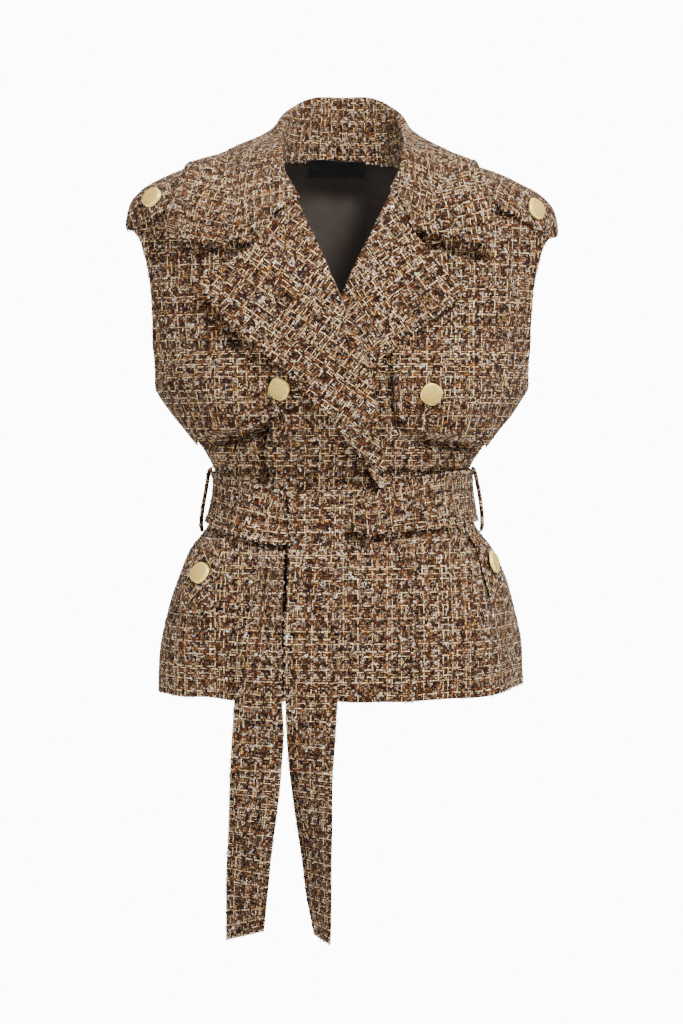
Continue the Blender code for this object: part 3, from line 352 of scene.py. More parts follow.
def lengths(points, axis):
    """Distance along the grid lines of one direction, from their first point."""
    steps = np.linalg.norm(np.diff(points, axis=axis), axis=-1)
    first = np.zeros_like(np.take(steps, [0], axis=axis))
    return np.concatenate([first, np.cumsum(steps, axis=axis)], axis=axis)


def closed_skin(name, outer, inner, finish):
    """Mesh object of two grids of points, back to back, and the rim that joins their edges."""
    rows, columns = outer.shape[:2]
    count = rows * columns
    number = np.arange(count).reshape(rows, columns)
    ring = np.concatenate([number[0, :], number[1:, -1], number[-1, -2::-1], number[-2:0:-1, 0]])
    rim = np.stack([np.roll(ring, -1), ring, ring + count, np.roll(ring, -1) + count], -1)
    faces = sweep_faces(rows, columns)
    return mesh_object(name, np.concatenate([outer.reshape(-1, 3), inner.reshape(-1, 3)]),
                       np.concatenate([faces, faces[:, ::-1] + count, rim]), finish)


def map_points(made, name, places):
    """UV map that gives each of the mesh's points its place."""
    corners = np.empty(len(made.data.loops), int)
    made.data.loops.foreach_get("vertex_index", corners)
    made.data.uv_layers.new(name=name).data.foreach_set("uv", places[corners].ravel())


COVER = {}                # outer face of each tweed piece, on which the slubs are laid later
EDGE_FALL = 0.7           # the turned edge's fall, in thicknesses from the edge
SEAM_IN, SEAM_GROOVE = 0.0063, 0.0009       # edge stitching: how far in from the edge, and half its width
PUFF_IN, PUFF = 0.0030, 0.0022              # the turning that swells between edge and stitching


def cloth(name, points, finish, thickness=CLOTH, grain=0.0, chart=None,
          stitch=0.0, slot="tweed"):
    """Closed cloth wall round a grid of points of its middle surface, its outer face away from the body.

    Both faces stand half the thickness off along the grid's normal.  Towards an edge that half
    falls as a quarter circle, so that the turned edge is round, and stitch presses a groove 6 mm in.
    The weave map is the distance along the grid's two directions, or the chart given, turned by grain.
    """
    normal = unit(np.cross(np.gradient(points, axis=1), np.gradient(points, axis=0)))
    if np.sum(normal[..., :2] * points[..., :2]) < 0:
        points, normal = points[:, ::-1], -normal[:, ::-1]
        chart = None if chart is None else [part[:, ::-1] for part in chart]
    along, across = lengths(points, 0), lengths(points, 1)
    edge = np.minimum(np.minimum(along, along[-1:] - along), np.minimum(across, across[:, -1:] - across))
    round_off = np.sqrt(1 - (1 - np.clip(edge / (thickness * EDGE_FALL), 0, 1)) ** 2 * 0.93)
    puff = 1 + stitch * (0.35 * np.exp(-((edge - PUFF_IN) / PUFF) ** 2)
                         - 0.75 * np.exp(-((edge - SEAM_IN) / SEAM_GROOVE) ** 2))
    half = (thickness / 2 * round_off * puff)[..., None]
    outer = points + normal * half
    made = closed_skin(name + "_cloth", outer, points - normal * half, finish)
    u, v = (across, along) if chart is None else chart
    angle = math.radians(grain)
    weave = np.stack([u * math.cos(angle) - v * math.sin(angle),
                      u * math.sin(angle) + v * math.cos(angle)], -1)
    map_points(made, "weave", np.tile(weave.reshape(-1, 2), (2, 1)))
    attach(made, "root")
    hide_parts(name)
    if slot == "tweed":
        COVER[name] = (outer, normal)


def calc(tree, operation, *values):
    """Result of a Math node with numbers or sockets as its values."""
    return node(tree, "ShaderNodeMath", dict(enumerate(values)), operation=operation).outputs[0]


def noise(tree, vector, scale, detail=2.0):
    """Noise node over a place, for its value or its colour."""
    return node(tree, "ShaderNodeTexNoise", {"Vector": vector, "Scale": scale, "Detail": detail})


def chance(tree, value):
    """Random number from 0 to 1 that belongs to a value."""
    return node(tree, "ShaderNodeTexWhiteNoise", {"W": value}, noise_dimensions="1D").outputs["Value"]


def palette(tree, key, colours):
    """Colour picked by a key from 0 to 1 out of bands that each start at their own place."""
    made = node(tree, "ShaderNodeValToRGB", {0: key})
    made.color_ramp.interpolation = "CONSTANT"
    while len(made.color_ramp.elements) < len(colours):
        made.color_ramp.elements.new(0.5)
    for element, (start, colour) in zip(made.color_ramp.elements, colours):
        element.position = start
        element.color = (*colour, 1)
    return made.outputs["Color"]


def mixed(tree, share, first, second):
    """Colour mixed from two by a share."""
    return node(tree, "ShaderNodeMix", {0: share, 6: first, 7: second}, data_type="RGBA").outputs[2]


def map_of(tree, name):
    """Place on one of the piece's own UV maps."""
    return node(tree, "ShaderNodeUVMap", {}, uv_map=name).outputs[0]


def press(tree, shader, height, strength, distance):
    """Lead a height through a Bump node into the shader's normal."""
    bump = node(tree, "ShaderNodeBump", {"Strength": strength, "Distance": distance, "Height": height})
    feed(tree, shader.inputs["Normal"], bump.outputs[0])


# Yarns of the tweed: which colours come up, and from what share on each of them starts.
GROUND = ((0.00, (0.010, 0.008, 0.012)), (0.20, (0.028, 0.012, 0.008)), (0.37, (0.076, 0.030, 0.012)),
          (0.52, (0.240, 0.064, 0.017)), (0.59, (0.042, 0.021, 0.014)), (0.71, (0.160, 0.074, 0.029)),
          (0.81, (0.560, 0.275, 0.066)), (0.87, (0.350, 0.225, 0.165)), (0.94, (0.880, 0.690, 0.470)))
PALE = ((0.00, (0.900, 0.680, 0.360)), (0.34, (0.720, 0.420, 0.120)), (0.54, (0.980, 0.840, 0.580)),
        (0.76, (0.460, 0.260, 0.100)))
CURLS = ((0.00, (1.000, 0.910, 0.790)), (0.40, (0.850, 0.660, 0.520)), (0.62, (0.700, 0.500, 0.380)),
         (0.78, (0.720, 0.380, 0.080)), (0.90, (0.520, 0.110, 0.025)))
WARP_PITCH, WEFT_PITCH = 0.00242, 0.00254       # distance from yarn to yarn
WARP_REPEAT, WEFT_REPEAT = 6, 5                 # one group of pale yarns in so many
WANDER = 0.0017                                 # how far a yarn strays from its straight line
PALE_SHARE, THIRD_PALE, FIFTH_PALE = 0.80, 0.40, 0.14     # chances of a float, and of a group's further yarns
CURL_WIDTH, CURL_PATCH = 0.036, 0.628           # of the noises that place the curls
BARE_DARKER = 0.42                              # how much darker the square inside each check is
FLOAT_REPEAT = 5.0                              # a pale yarn's floats come back after so many crossings


def weave_group():
    """Tweed: colour and height at a place of the weave map, in metres.

    Two sets of yarns lie on a wandering grid.  A checkerboard says which set is on top, a random
    number for each yarn and a noise along it give its colour, and its height is a round profile.
    Thin pale yarns float over three crossings and dive under the next two.  Loose curls lie where
    a noise is close to its middle value, within patches of a slower noise.
    """
    made = bpy.data.node_groups.new("tweed_weave", "ShaderNodeTree")
    made.interface.new_socket("Place", in_out="INPUT", socket_type="NodeSocketVector")
    made.interface.new_socket("Colour", in_out="OUTPUT", socket_type="NodeSocketColor")
    made.interface.new_socket("Height", in_out="OUTPUT", socket_type="NodeSocketFloat")
    start, end = made.nodes.new("NodeGroupInput"), made.nodes.new("NodeGroupOutput")
    place = start.outputs["Place"]

    def maths(operation):
        """A function that puts its values through a Math node of this group."""
        return lambda *values: calc(made, operation, *values)
    add, minus, over, floor = maths("ADD"), maths("SUBTRACT"), maths("DIVIDE"), maths("FLOOR")
    size, less, most = maths("ABSOLUTE"), maths("LESS_THAN"), maths("MAXIMUM")
    remainder = maths("FLOORED_MODULO")

    def times(*values):
        """Product of two or more values."""
        result = values[0]
        for value in values[1:]:
            result = calc(made, "MULTIPLY", result, value)
        return result

    def yarn(metres, drift, pitch):
        """Yarns up to a place, the number of the yarn there, and how far off its middle that is."""
        count = over(add(metres, times(minus(drift, 0.5), WANDER)), pitch)
        number = floor(count)
        return count, number, minus(minus(count, number), 0.5)
    split = node(made, "ShaderNodeSeparateXYZ", {0: place}).outputs
    drift = node(made, "ShaderNodeSeparateColor", {0: noise(made, place, 190, 2).outputs["Color"]}).outputs
    a, i, off_a = yarn(split[0], drift[0], WARP_PITCH)
    b, j, off_b = yarn(split[1], drift[1], WEFT_PITCH)

    def tint(number, seed, length, finer):
        """Key of a yarn's colour: its own random number and a noise along it, whole turns dropped."""
        spot = node(made, "ShaderNodeCombineXYZ", {0: times(number, 3.7), 1: times(length, finer), 2: seed})
        streak = times(minus(noise(made, spot.outputs[0], 1.0, 2).outputs[0], 0.5), 3.4)
        return calc(made, "FRACT", add(chance(made, add(number, seed)), streak))
    slip = less(chance(made, add(times(i, 57.31), j)), 0.2)
    weft_on_top = size(minus(remainder(add(i, j), 2.0), slip))
    colour = mixed(made, weft_on_top, palette(made, tint(i, 11.5, b, 0.9), GROUND),
                   palette(made, tint(j, 71.5, a, 0.9), GROUND))

    def profile(across, along):
        """Height of a round yarn that dips on both sides of the crossing where it is on top."""
        return minus(minus(1.0, times(across, across, 3.4)), times(along, along, 1.8))
    heights = {0: weft_on_top, 2: profile(off_a, off_b), 3: profile(off_b, off_a)}
    height = node(made, "ShaderNodeMix", heights).outputs[0]

    def pale(number, repeat, crossing_number, across, seed):
        """1 where a pale yarn floats: the first of each group, often the third, now and then the fifth."""
        turn = remainder(number, repeat)
        luck = chance(made, add(floor(over(number, repeat)), seed))
        third = times(calc(made, "COMPARE", turn, 2.0, 0.4), less(luck, THIRD_PALE))
        fifth = times(calc(made, "COMPARE", turn, 4.0, 0.4), less(luck, FIFTH_PALE))
        group = most(less(turn, 0.5), most(third, fifth))
        shifted = add(crossing_number, times(number, 2.0))
        floats = less(remainder(shifted, FLOAT_REPEAT), FLOAT_REPEAT / 2)
        stretch = floor(over(shifted, FLOAT_REPEAT))
        held = chance(made, add(times(stretch, 13.7), add(times(number, 5.3), seed)))
        off_line = size(add(across, times(minus(luck, 0.5), 0.3)))
        return times(group, less(held, PALE_SHARE), floats, less(off_line, add(0.09, times(held, 0.11))))
    pale_warp = pale(i, WARP_REPEAT, j, off_a, 5.5)
    pale_weft = pale(j, WEFT_REPEAT, add(i, 1.0), off_b, 25.5)
    pale_yarn = most(pale_warp, pale_weft)
    pale_key = mixed(made, pale_warp, tint(j, 31.5, a, 0.5), tint(i, 47.5, b, 0.5))
    colour = mixed(made, pale_yarn, colour, palette(made, pale_key, PALE))
    height = add(height, times(pale_yarn, 0.5))

    # Loose curls of thicker yarn, off-white more often than gold or rust.
    line = less(size(minus(noise(made, place, 380, 1).outputs[0], 0.5)), CURL_WIDTH)
    curl = times(line, calc(made, "GREATER_THAN", noise(made, place, 165, 1).outputs[0], CURL_PATCH))
    cell = node(made, "ShaderNodeTexVoronoi", {"Scale": 120, "Vector": place})
    kind = node(made, "ShaderNodeTexWhiteNoise", {"Vector": cell.outputs["Color"]}, noise_dimensions="3D")
    colour = mixed(made, curl, colour, palette(made, kind.outputs["Value"], CURLS))
    height = add(height, times(curl, 0.8))

    # Fibres: every yarn is a little lighter and darker along fine threads.  Painted shade: the colour is
    # darker where the yarn's height is low, between yarns and where a yarn dives.  Each check has a
    # darker square of bare ground in its middle.
    fibre = noise(made, place, 1150, 1).outputs[0]
    # painted shade: the colour falls with the yarn's height, darkest in the gaps between yarns
    depth = add(times(calc(made, "MINIMUM", height, 1.2), 0.60), 0.36)
    painted_shade_and_tone = times(most(depth, 0.12), add(times(fibre, 1.5), 0.25))
    square = times(less(size(minus(remainder(i, WARP_REPEAT), 4.0)), 1.4),
                   less(size(minus(remainder(j, WEFT_REPEAT), 3.0)), 1.4))
    bare = minus(1.0, most(pale_yarn, curl))
    painted_shade_and_tone = times(painted_shade_and_tone, minus(0.98, times(square, bare, BARE_DARKER)))
    colour_with_painted_shade = node(made, "ShaderNodeVectorMath", {}, operation="SCALE")
    feed(made, colour_with_painted_shade.inputs[0], colour)
    feed(made, colour_with_painted_shade.inputs["Scale"], painted_shade_and_tone)
    feed(made, end.inputs["Colour"], colour_with_painted_shade.outputs[0])
    feed(made, end.inputs["Height"], add(height, times(fibre, 0.35)))
    return made


tweed, tree, shader = material("wool_tweed",
                               {"Roughness": 0.92, "Sheen Weight": 0.03, "Specular IOR Level": 0.06})
yarns = node(tree, "ShaderNodeGroup", {"Place": map_of(tree, "weave")}, node_tree=weave_group())
feed(tree, shader.inputs["Base Color"], yarns.outputs["Colour"])
press(tree, shader, yarns.outputs["Height"], 0.9, 0.0009)

ARMHOLE = table("level across", (-0.235, 0.1920), (-0.215, 0.1922), (-0.190, 0.1930), (-0.150, 0.1940),
                (-0.110, 0.1975), (-0.075, 0.2030), (-0.050, 0.2095), (-0.030, 0.2165), (-0.012, 0.2225),
                (0.000, 0.2225))
SEAM_TOP = -3e-7          # level of the shoulder seam, just off the line
SEAM_SHARE = 0.999999     # share of the quarter turn at the side seam
BACK_ARM_PROUD = 0.004    # the back's armhole edge shows this much past the front's


def arm_share(level, proud=0.0):
    """Share of the quarter turn at a panel's outer edge: the side seam, and above it the armhole."""
    edge = share_at(smooth(level, ARMHOLE["level"], ARMHOLE["across"]) + proud, level)
    return np.where(level <= UNDERARM, SEAM_SHARE, np.minimum(edge, SEAM_SHARE))


def panel_levels(step=0.0035):
    """Levels from hem to shoulder, closer along the hem and where the cloth turns over the shoulder."""
    hem = HEM + np.concatenate([[0.0], EDGE_STEPS])
    turn = 0.045 * (1 - np.cos(np.radians(np.linspace(78, 4, 24))))
    middle = np.linspace(hem[-1] + step, -turn[0] - step, round(0.5 / step))
    return np.concatenate([hem, middle, -turn, [-0.00002, SEAM_TOP]])


def back_place(level, share):
    """Distance across and height of a place on the back; its top edge dips along the neckline."""
    proud = BACK_ARM_PROUD * ramp(level, -0.16, -0.10) * (1 - ramp(level, -0.03, -0.01))
    turn = share * arm_share(level, proud)
    dip = BACK_NECK_DROP * np.clip(1 - (place_x(turn, 0.0) / NECK) ** 2, 0, 1)
    level = level - dip * ramp(level, -0.12, 0.0)
    x = place_x(turn, level)
    return x, height_at(x, level, 1)


def back_points(levels, shares, lift):
    """Grid of points lifted off the back of the form, from side seam to side seam."""
    level, share = np.meshgrid(levels, shares, indexing="ij")
    x, z = back_place(level, -share)
    return hemmed(surface(x, z, 1, lift + cinched(x, z)), level)


CINCH = 0.0042
CINCH_LINES = ((-0.3235, 0.006), (-0.3885, 0.007))         # height and width of the hollow at each edge


def cinched(x, z):
    """Hollow that the belt presses into the cloth along each of its edges, but not at the side seams."""
    between = 1 - ramp(abs(share_at(x, z)), 0.66, 0.88)
    return -CINCH * between * sum(np.exp(-((z - edge) / width) ** 2) for edge, width in CINCH_LINES)


HEM_RISE, HEM_REACH = 0.0060, 0.06      # rise on the left, and how high above the hem it is felt


def hemmed(grid, level):
    """The panel with a hem that waves a little and rises towards the wearer's left side."""
    x, y = grid[..., 0], grid[..., 1]
    wave = 0.0010 * np.sin(53 * x + 29 * y) + 0.0007 * np.sin(-97 * x + 61 * y + 1.0)
    rise = wave + HEM_RISE * ramp(x, 0.10, 0.185)
    return grid + (rise * (1 - ramp(level, HEM, HEM + HEM_REACH)))[..., None] * np.array((0, 0, 1))


def upright(x, z, side):
    """Height of a place with the turn over the shoulder rolled flat: the rows of the weave follow it."""
    line = shoulder_height(x, side)
    return abs(girth_of(x, side * (line + 0.15))) - abs(girth_of(x, side * np.maximum(line - z, 0)))


PANEL_LEVELS = panel_levels()
BACK_SHARES = edged(-1, 1, 0.50)
back_grid = back_points(PANEL_LEVELS, BACK_SHARES, 0.0)
back_across = lengths(back_grid, 1)
back_middle = back_across[:, back_across.shape[1] // 2, None]
back_x, back_z = back_place(*np.meshgrid(PANEL_LEVELS, -BACK_SHARES, indexing="ij"))
cloth("back", back_grid, tweed,
      chart=(back_across - back_middle, upright(back_x, back_z, 1)))

# ---- Lining --------------------------------------------------------------------------------------
# Dark satin hung inside the back from the neckline.  It shows only inside the neck, plain, with the
# soft pulls that a loose lining has.
LINING_SLACK = 0.0045
LINING_SIDE = 0.92
SATIN = 0.0009

satin, tree, shader = material("dark_satin", {"Roughness": 0.60, "Sheen Weight": 0.06,
                                              "Specular IOR Level": 0.25, "Anisotropic": 0.5})
spot = node(tree, "ShaderNodeTexCoord", {}).outputs["Object"]
tone = noise(tree, spot, 30, 3).outputs[0]
feed(tree, shader.inputs["Base Color"], mixed(tree, tone, (0.034, 0.026, 0.021), (0.056, 0.044, 0.036)))
threads = node(tree, "ShaderNodeTexWave", {"Scale": 900, "Distortion": 0.4, "Vector": spot}).outputs["Fac"]
pulls = noise(tree, spot, 95, 2).outputs[0]
height = calc(tree, "ADD", calc(tree, "MULTIPLY", threads, 0.3), calc(tree, "MULTIPLY", pulls, 6.0))
press(tree, shader, height, 0.25, 0.0002)

lining_grid = back_points(PANEL_LEVELS[8:-1], edged(-LINING_SIDE, LINING_SIDE, 0.46), -LINING_SLACK)
cloth("lining_back", lining_grid, satin,
      thickness=SATIN, slot="lining")

# ---- Fronts --------------------------------------------------------------------------------------
# Two panels lapped over one another and joined to the back at the sides and shoulders.  Below the
# belt the edges fall straight; above it each edge is the line on which its lapel rolls back.
EDGE_TOP = table("height across",
                 (-0.549, 0.0710), (-0.450, 0.0710), (-0.390, 0.0700),
                 (-0.3385, 0.0460), (-0.296, 0.0350), (-0.240, 0.0270),
                 (-0.200, 0.0160), (-0.1627, 0.0010), (-0.127, -0.0150),
                 (-0.0955, -0.0280), (-0.0655, -0.0420), (-0.040, -0.0540),
                 (-0.017, -0.0620), (0.008, -0.0670))
EDGE_UNDER = table("height across",
                   (-0.549, -0.0710), (-0.450, -0.0710), (-0.390, -0.0700),
                   (-0.3385, -0.0500), (-0.296, -0.0430), (-0.250, -0.0330),
                   (-0.205, -0.0190), (-0.155, 0.0000), (-0.1325, 0.0090),
                   (-0.107, 0.0210), (-0.080, 0.0350), (-0.054, 0.0465),
                   (-0.030, 0.0578), (-0.013, 0.0627), (0.006, 0.0670))
RIDE_FRONT, RIDE_LAPEL, RIDE_UNDER = 0.0013, 0.0060, 0.0020
# Hollows in front, each along a line from one place to another, that lie in shade under an edge.  The
# last column says whether the storm flap sinks there too or only the front under it.
HOLLOWS = table("from_x from_z to_x to_z width depth flap",
                (0.0740, -0.0900, 0.1380, -0.1015, 0.0058, -0.0095, 1),
                (-0.1500, -0.0955, -0.0940, -0.0975, 0.0042, -0.0060, 1),
                (-0.1410, -0.1400, -0.0970, -0.1930, 0.0058, -0.0095, 1),
                (-0.1370, -0.2900, -0.0800, -0.2752, 0.0066, -0.0160, 0),
                (-0.0815, -0.2740, -0.0805, -0.3300, 0.0042, -0.0130, 0),
                (0.0480, -0.2230, 0.0570, -0.2730, 0.0050, -0.0095, 0),
                (0.0840, -0.2868, 0.1340, -0.2935, 0.0066, -0.0160, 0),
                (0.0120, -0.2900, 0.0400, -0.3360, 0.0048, -0.0080, 0),
                (-0.0580, -0.3950, -0.0575, -0.5700, 0.0045, -0.0080, 0),
                (0.0150, -0.3920, 0.0660, -0.3900, 0.0060, -0.0060, 0),
                (0.1380, -0.0510, 0.1680, -0.0640, 0.0045, -0.0045, 1))


def hollowed(x, z, flap):
    """Sum of the hollows at a place in front, none at the side seams.

    Each is its depth times exp(-d^2), where d is the distance from its line in widths.
    """
    total = np.zeros(np.broadcast(x, z).shape)
    for i in np.flatnonzero(HOLLOWS["flap"] >= flap):
        first = np.array((HOLLOWS["from_x"][i], HOLLOWS["from_z"][i]))
        line = np.array((HOLLOWS["to_x"][i], HOLLOWS["to_z"][i])) - first
        there = np.stack([x, z], -1) - first
        t = np.clip(there @ line / (line @ line), 0, 1)
        apart = np.linalg.norm(there - t[..., None] * line, axis=-1)
        total = total + HOLLOWS["depth"][i] * np.exp(-(apart / HOLLOWS["width"][i]) ** 2)
    return total * (1 - ramp(abs(share_at(x, z)), 0.76, 0.94))


def from_centre(x, level, side):
    """Distance round the body from the centre line to a place, along the section at its level."""
    across = place_x(share_at(x, level) * np.linspace(0, 1, 33)[:, None], level)
    return np.sign(x) * lengths(surface(across, height_at(across, level, side), side), 0)[-1]


def ride_top(x, z):
    """How far the upper front stands out where it laps over the lower one and its lapel."""
    over_lower = RIDE_FRONT * ramp(x, -0.110, -0.080) * (1 - ramp(z, -0.120, -0.060))
    over_lapel = RIDE_LAPEL * ramp(x, -0.075, -0.040) * ramp(z, -0.315, -0.270)
    return over_lower + over_lapel * (1 - ramp(z, -0.135, -0.090))


def ride_under(x, z):
    """How far the lower front draws in where it is lapped over."""
    return -RIDE_UNDER * (1 - ramp(x, 0.080, 0.110)) * (1 - ramp(z, -0.120, -0.060))


def front(name, hand, edge, ride):
    """Panel from its lapped edge (share 0) to the side seam and the armhole (1)."""
    level, share = np.meshgrid(PANEL_LEVELS, edged(0, 1, 0.28), indexing="ij")
    inner_x = smooth(height_at(0.0, level, -1), edge["height"], edge["across"])
    inner_x = smooth(height_at(inner_x, level, -1), edge["height"], edge["across"])
    inner, outer = share_at(inner_x, level), hand * arm_share(level)
    x = place_x(inner + (outer - inner) * share, level)
    z = height_at(x, level, -1)
    grid = hemmed(surface(x, z, -1, ride(x, z) + cinched(x, z) + hollowed(x, z, 0)), level)
    first = from_centre(inner_x[:, 0], PANEL_LEVELS, -1)[:, None]
    cloth(name, grid, tweed,
          chart=(first + hand * lengths(grid, 1), upright(x, z, -1)))


front("front_right", -1, EDGE_TOP, ride_top)
front("front_left", 1, EDGE_UNDER, ride_under)

# ---- Storm flaps ---------------------------------------------------------------------------------
# A shaped piece over each shoulder and chest, caught in the shoulder and armhole seams and free at
# its lower edge, which stands off and shades the front under it.
SEAM_GAP = 0.0003
FLAP_LIFT = 0.0040
FLAP_RIGHT = table("share bottom inner_level inner_x", (0.00, -0.2460, -0.2460, -0.0310),
                   (0.27, -0.2640, -0.2000, -0.0400), (0.45, -0.2760, -0.1500, -0.0620),
                   (0.65, -0.2840, -0.0900, -0.0950), (1.00, -0.2930, -0.0040, -0.1150))
FLAP_LEFT = table("share bottom inner_level inner_x", (0.00, -0.2640, -0.2700, 0.0590),
                  (0.10, -0.2780, -0.2300, 0.0530), (0.30, -0.2815, -0.1500, 0.0510),
                  (0.65, -0.2890, -0.0900, 0.0800), (1.00, -0.2950, -0.0040, 0.1050))
FLAP_TOP, FLAP_SIDE, FLAP_FREE, FLAP_INSET = -0.0035, 0.945, 0.0135, 0.0035
SEWN_LIFT = 0.0020        # how far a piece sewn down by its edge stands off the one under it
FACED = 0.0026            # thickness of the faced pieces: flaps, lapels, collar and straps


def flap_lift(share, up):
    """A seam's height at the shoulder, armhole and lower outer corner, the full lift elsewhere."""
    held = np.maximum(ramp(up, 0.95, 1.0), 0.8 * ramp(share, 0.86, 1.0) * (1 - ramp(up, 0.1, 0.3)))
    return FLAP_LIFT - (FLAP_LIFT - SEWN_LIFT - SEAM_GAP * 3) * held


def flap_hang(share, up, beside):
    """How far the free lower edge hangs out in front, in slow waves, past the button."""
    wave = 0.8 + 0.2 * np.sin(share * 17.0)
    return FLAP_FREE * (1 - ramp(up, 0.0, 0.40)) * ramp(share, beside, beside + 0.18) * wave


def flap(name, cut, hand, ride, under, sag, beside):
    """Flap that sags below its cut line near the button and hangs free from a share of its width on."""
    up, share = np.meshgrid(edged(0, 1, 0.27), edged(0, 1, 0.15), indexing="ij")
    bottom = smooth(share, cut["share"], cut["bottom"]) - sag * np.exp(-((share - 0.27) / 0.2) ** 2)
    level = bottom + (FLAP_TOP - bottom) * up
    inner_x = smooth(level, cut["inner_level"], cut["inner_x"])
    inner = share_at(inner_x, level)
    under_arm = float(arm_share(UNDERARM + 1e-6, -FLAP_INSET))
    side = under_arm + (FLAP_SIDE - under_arm) * ramp(UNDERARM - level, 0, 0.04)
    outer = hand * np.where(level < UNDERARM, side, arm_share(level, -FLAP_INSET))
    x = place_x(inner + (outer - inner) * share, level)
    z = height_at(x, level, -1)
    grid = surface(x, z, -1, ride(x, z) + flap_lift(share, up) + hollowed(x, z, 1))
    grid[..., 1] -= flap_hang(share, up, beside)
    first = from_centre(inner_x[:, 0], level[:, 0], -1)[:, None]
    cloth(name, grid, tweed, stitch=1.0,
          thickness=FACED, chart=(first + hand * lengths(grid, 1), upright(x, z, -1)))


flap("storm_flap_right", FLAP_RIGHT, -1, ride_top, "front_right", 0.0080, 0.17)
flap("storm_flap_left", FLAP_LEFT, 1, ride_under, "front_left", 0.0, 0.22)

# ---- Lapels --------------------------------------------------------------------------------------
# The fronts' own edges rolled back, so their weave is turned about the roll line.  Each row runs
# from the roll over the lapel's middle to its free edge; the first row is the gorge.
LEAF_LIFT = 0.0082
FOLD_GAP = 0.0010
GORGE_LAP, GORGE_SINK = 0.0050, 0.0022      # how far the sewn gorge runs up under the collar, and sinks
LAPEL_RIGHT = table("place roll mid_x mid_z edge_x edge_z",
                    (0.00, -0.050, -0.0900, -0.0945, -0.1370, -0.1306),
                    (0.10, -0.072, -0.0830, -0.1130, -0.1290, -0.1450),
                    (0.22, -0.098, -0.0710, -0.1350, -0.1140, -0.1640),
                    (0.42, -0.145, -0.0460, -0.1690, -0.0850, -0.1908),
                    (0.62, -0.195, -0.0130, -0.2140, -0.0420, -0.2329),
                    (0.80, -0.245, 0.0085, -0.2560, -0.0110, -0.2670),
                    (0.92, -0.295, 0.0260, -0.2990, 0.0160, -0.3030),
                    (1.00, -0.332, 0.0405, -0.3335, 0.0360, -0.3350))
LAPEL_LEFT = table("place roll mid_x mid_z edge_x edge_z", (0.00, -0.040, 0.0720, -0.0835, 0.1200, -0.1356),
                   (0.15, -0.064, 0.0670, -0.1020, 0.1100, -0.1470),
                   (0.40, -0.108, 0.0490, -0.1410, 0.0830, -0.1690),
                   (0.62, -0.155, 0.0250, -0.1790, 0.0510, -0.1955),
                   (0.84, -0.205, -0.0020, -0.2180, 0.0150, -0.2290),
                   (1.00, -0.236, -0.0210, -0.2410, -0.0130, -0.2460))


def bent(t, first, middle, last):
    """From first over middle to last as t goes 0 to 1, straight on both halves."""
    t = np.clip(t, 0, 1)[..., None]
    return np.where(t < 0.5, first + (middle - first) * 2 * t, middle + (last - middle) * (2 * t - 1))


def lapel(name, cut, edge, ride, grain, leaf_lift, free_lift):
    """Front edge rolled over: a half round fold on the roll line, then the leaf lying on the front."""
    leaf = edged(0, 1, 0.105)
    place, across = np.meshgrid(edged(0, 1, 0.27), np.concatenate([np.linspace(-1, 0, 12)[:-1], leaf]),
                                indexing="ij")

    def column(key):
        return smooth(place, cut["place"], cut[key])
    roll_z = column("roll")
    roll_x = smooth(roll_z, edge["height"], edge["across"])
    sewn = (1 - ramp(place, 0.0, 0.07)) * (1 - ramp(across, 0.42, 0.56))
    lift = leaf_lift(place)
    drop = -SEAM_GAP * (1 - ramp(place, 0.0, 0.1))
    gap = FOLD_GAP * (2 - ramp(place, 0.0, 0.12))
    roll = np.stack([roll_x, roll_z], -1)
    flat = bent(across, roll, np.stack([column("mid_x"), column("mid_z")], -1),
                np.stack([column("edge_x"), column("edge_z")], -1))
    x, z = flat[..., 0], flat[..., 1] + drop + GORGE_LAP * sewn * ramp(across, 0.0, 0.05)
    away = unit(surface(roll_x, roll_z, -1) - surface(column("mid_x"), column("mid_z"), -1))
    angle = np.clip(across, -1, 0) * math.pi
    fold = surface(roll_x, roll_z + drop, -1, ride(roll_x, roll_z) + lift / 2 * (1 + np.cos(angle)))
    fold = fold + away * (lift / 2 * np.sin(-angle) + gap * np.clip(-across, 0, 1))[..., None]
    leaf = surface(x, z, -1, ride(x, z) + lift - GORGE_SINK * sewn * ramp(across, 0.0, 0.05)
                   + free_lift(place) * np.clip(across, 0, 1) ** 3)
    grid = np.where((across < 0)[..., None], fold, leaf)
    flat = flat - unit(flat[:, -1:] - roll[:, -1:]) * (np.clip(-across, 0, 1) * lift * math.pi / 2)[..., None]
    cloth(name, grid, tweed, stitch=1.0,
          thickness=FACED, grain=grain, chart=(flat[..., 0] * 1.03, flat[..., 1]))


lapel("lapel_right", LAPEL_RIGHT, EDGE_TOP, ride_top, -54, lambda s: LEAF_LIFT - 0.0036 * ramp(s, 0.75, 1.0),
      lambda s: 0.0030 * ramp(s, 0.0, 0.4) + 0.0070 * (1 - ramp(s, 0.4, 0.7)) + 0.0030 * ramp(s, 0.75, 0.95))
lapel("lapel_left", LAPEL_LEFT, EDGE_UNDER, ride_under, 54,
      lambda s: LEAF_LIFT - 0.0016 * ramp(s, 0.40, 0.58), lambda s: 0.0060 * (1 - ramp(s, 0.3, 0.7)))

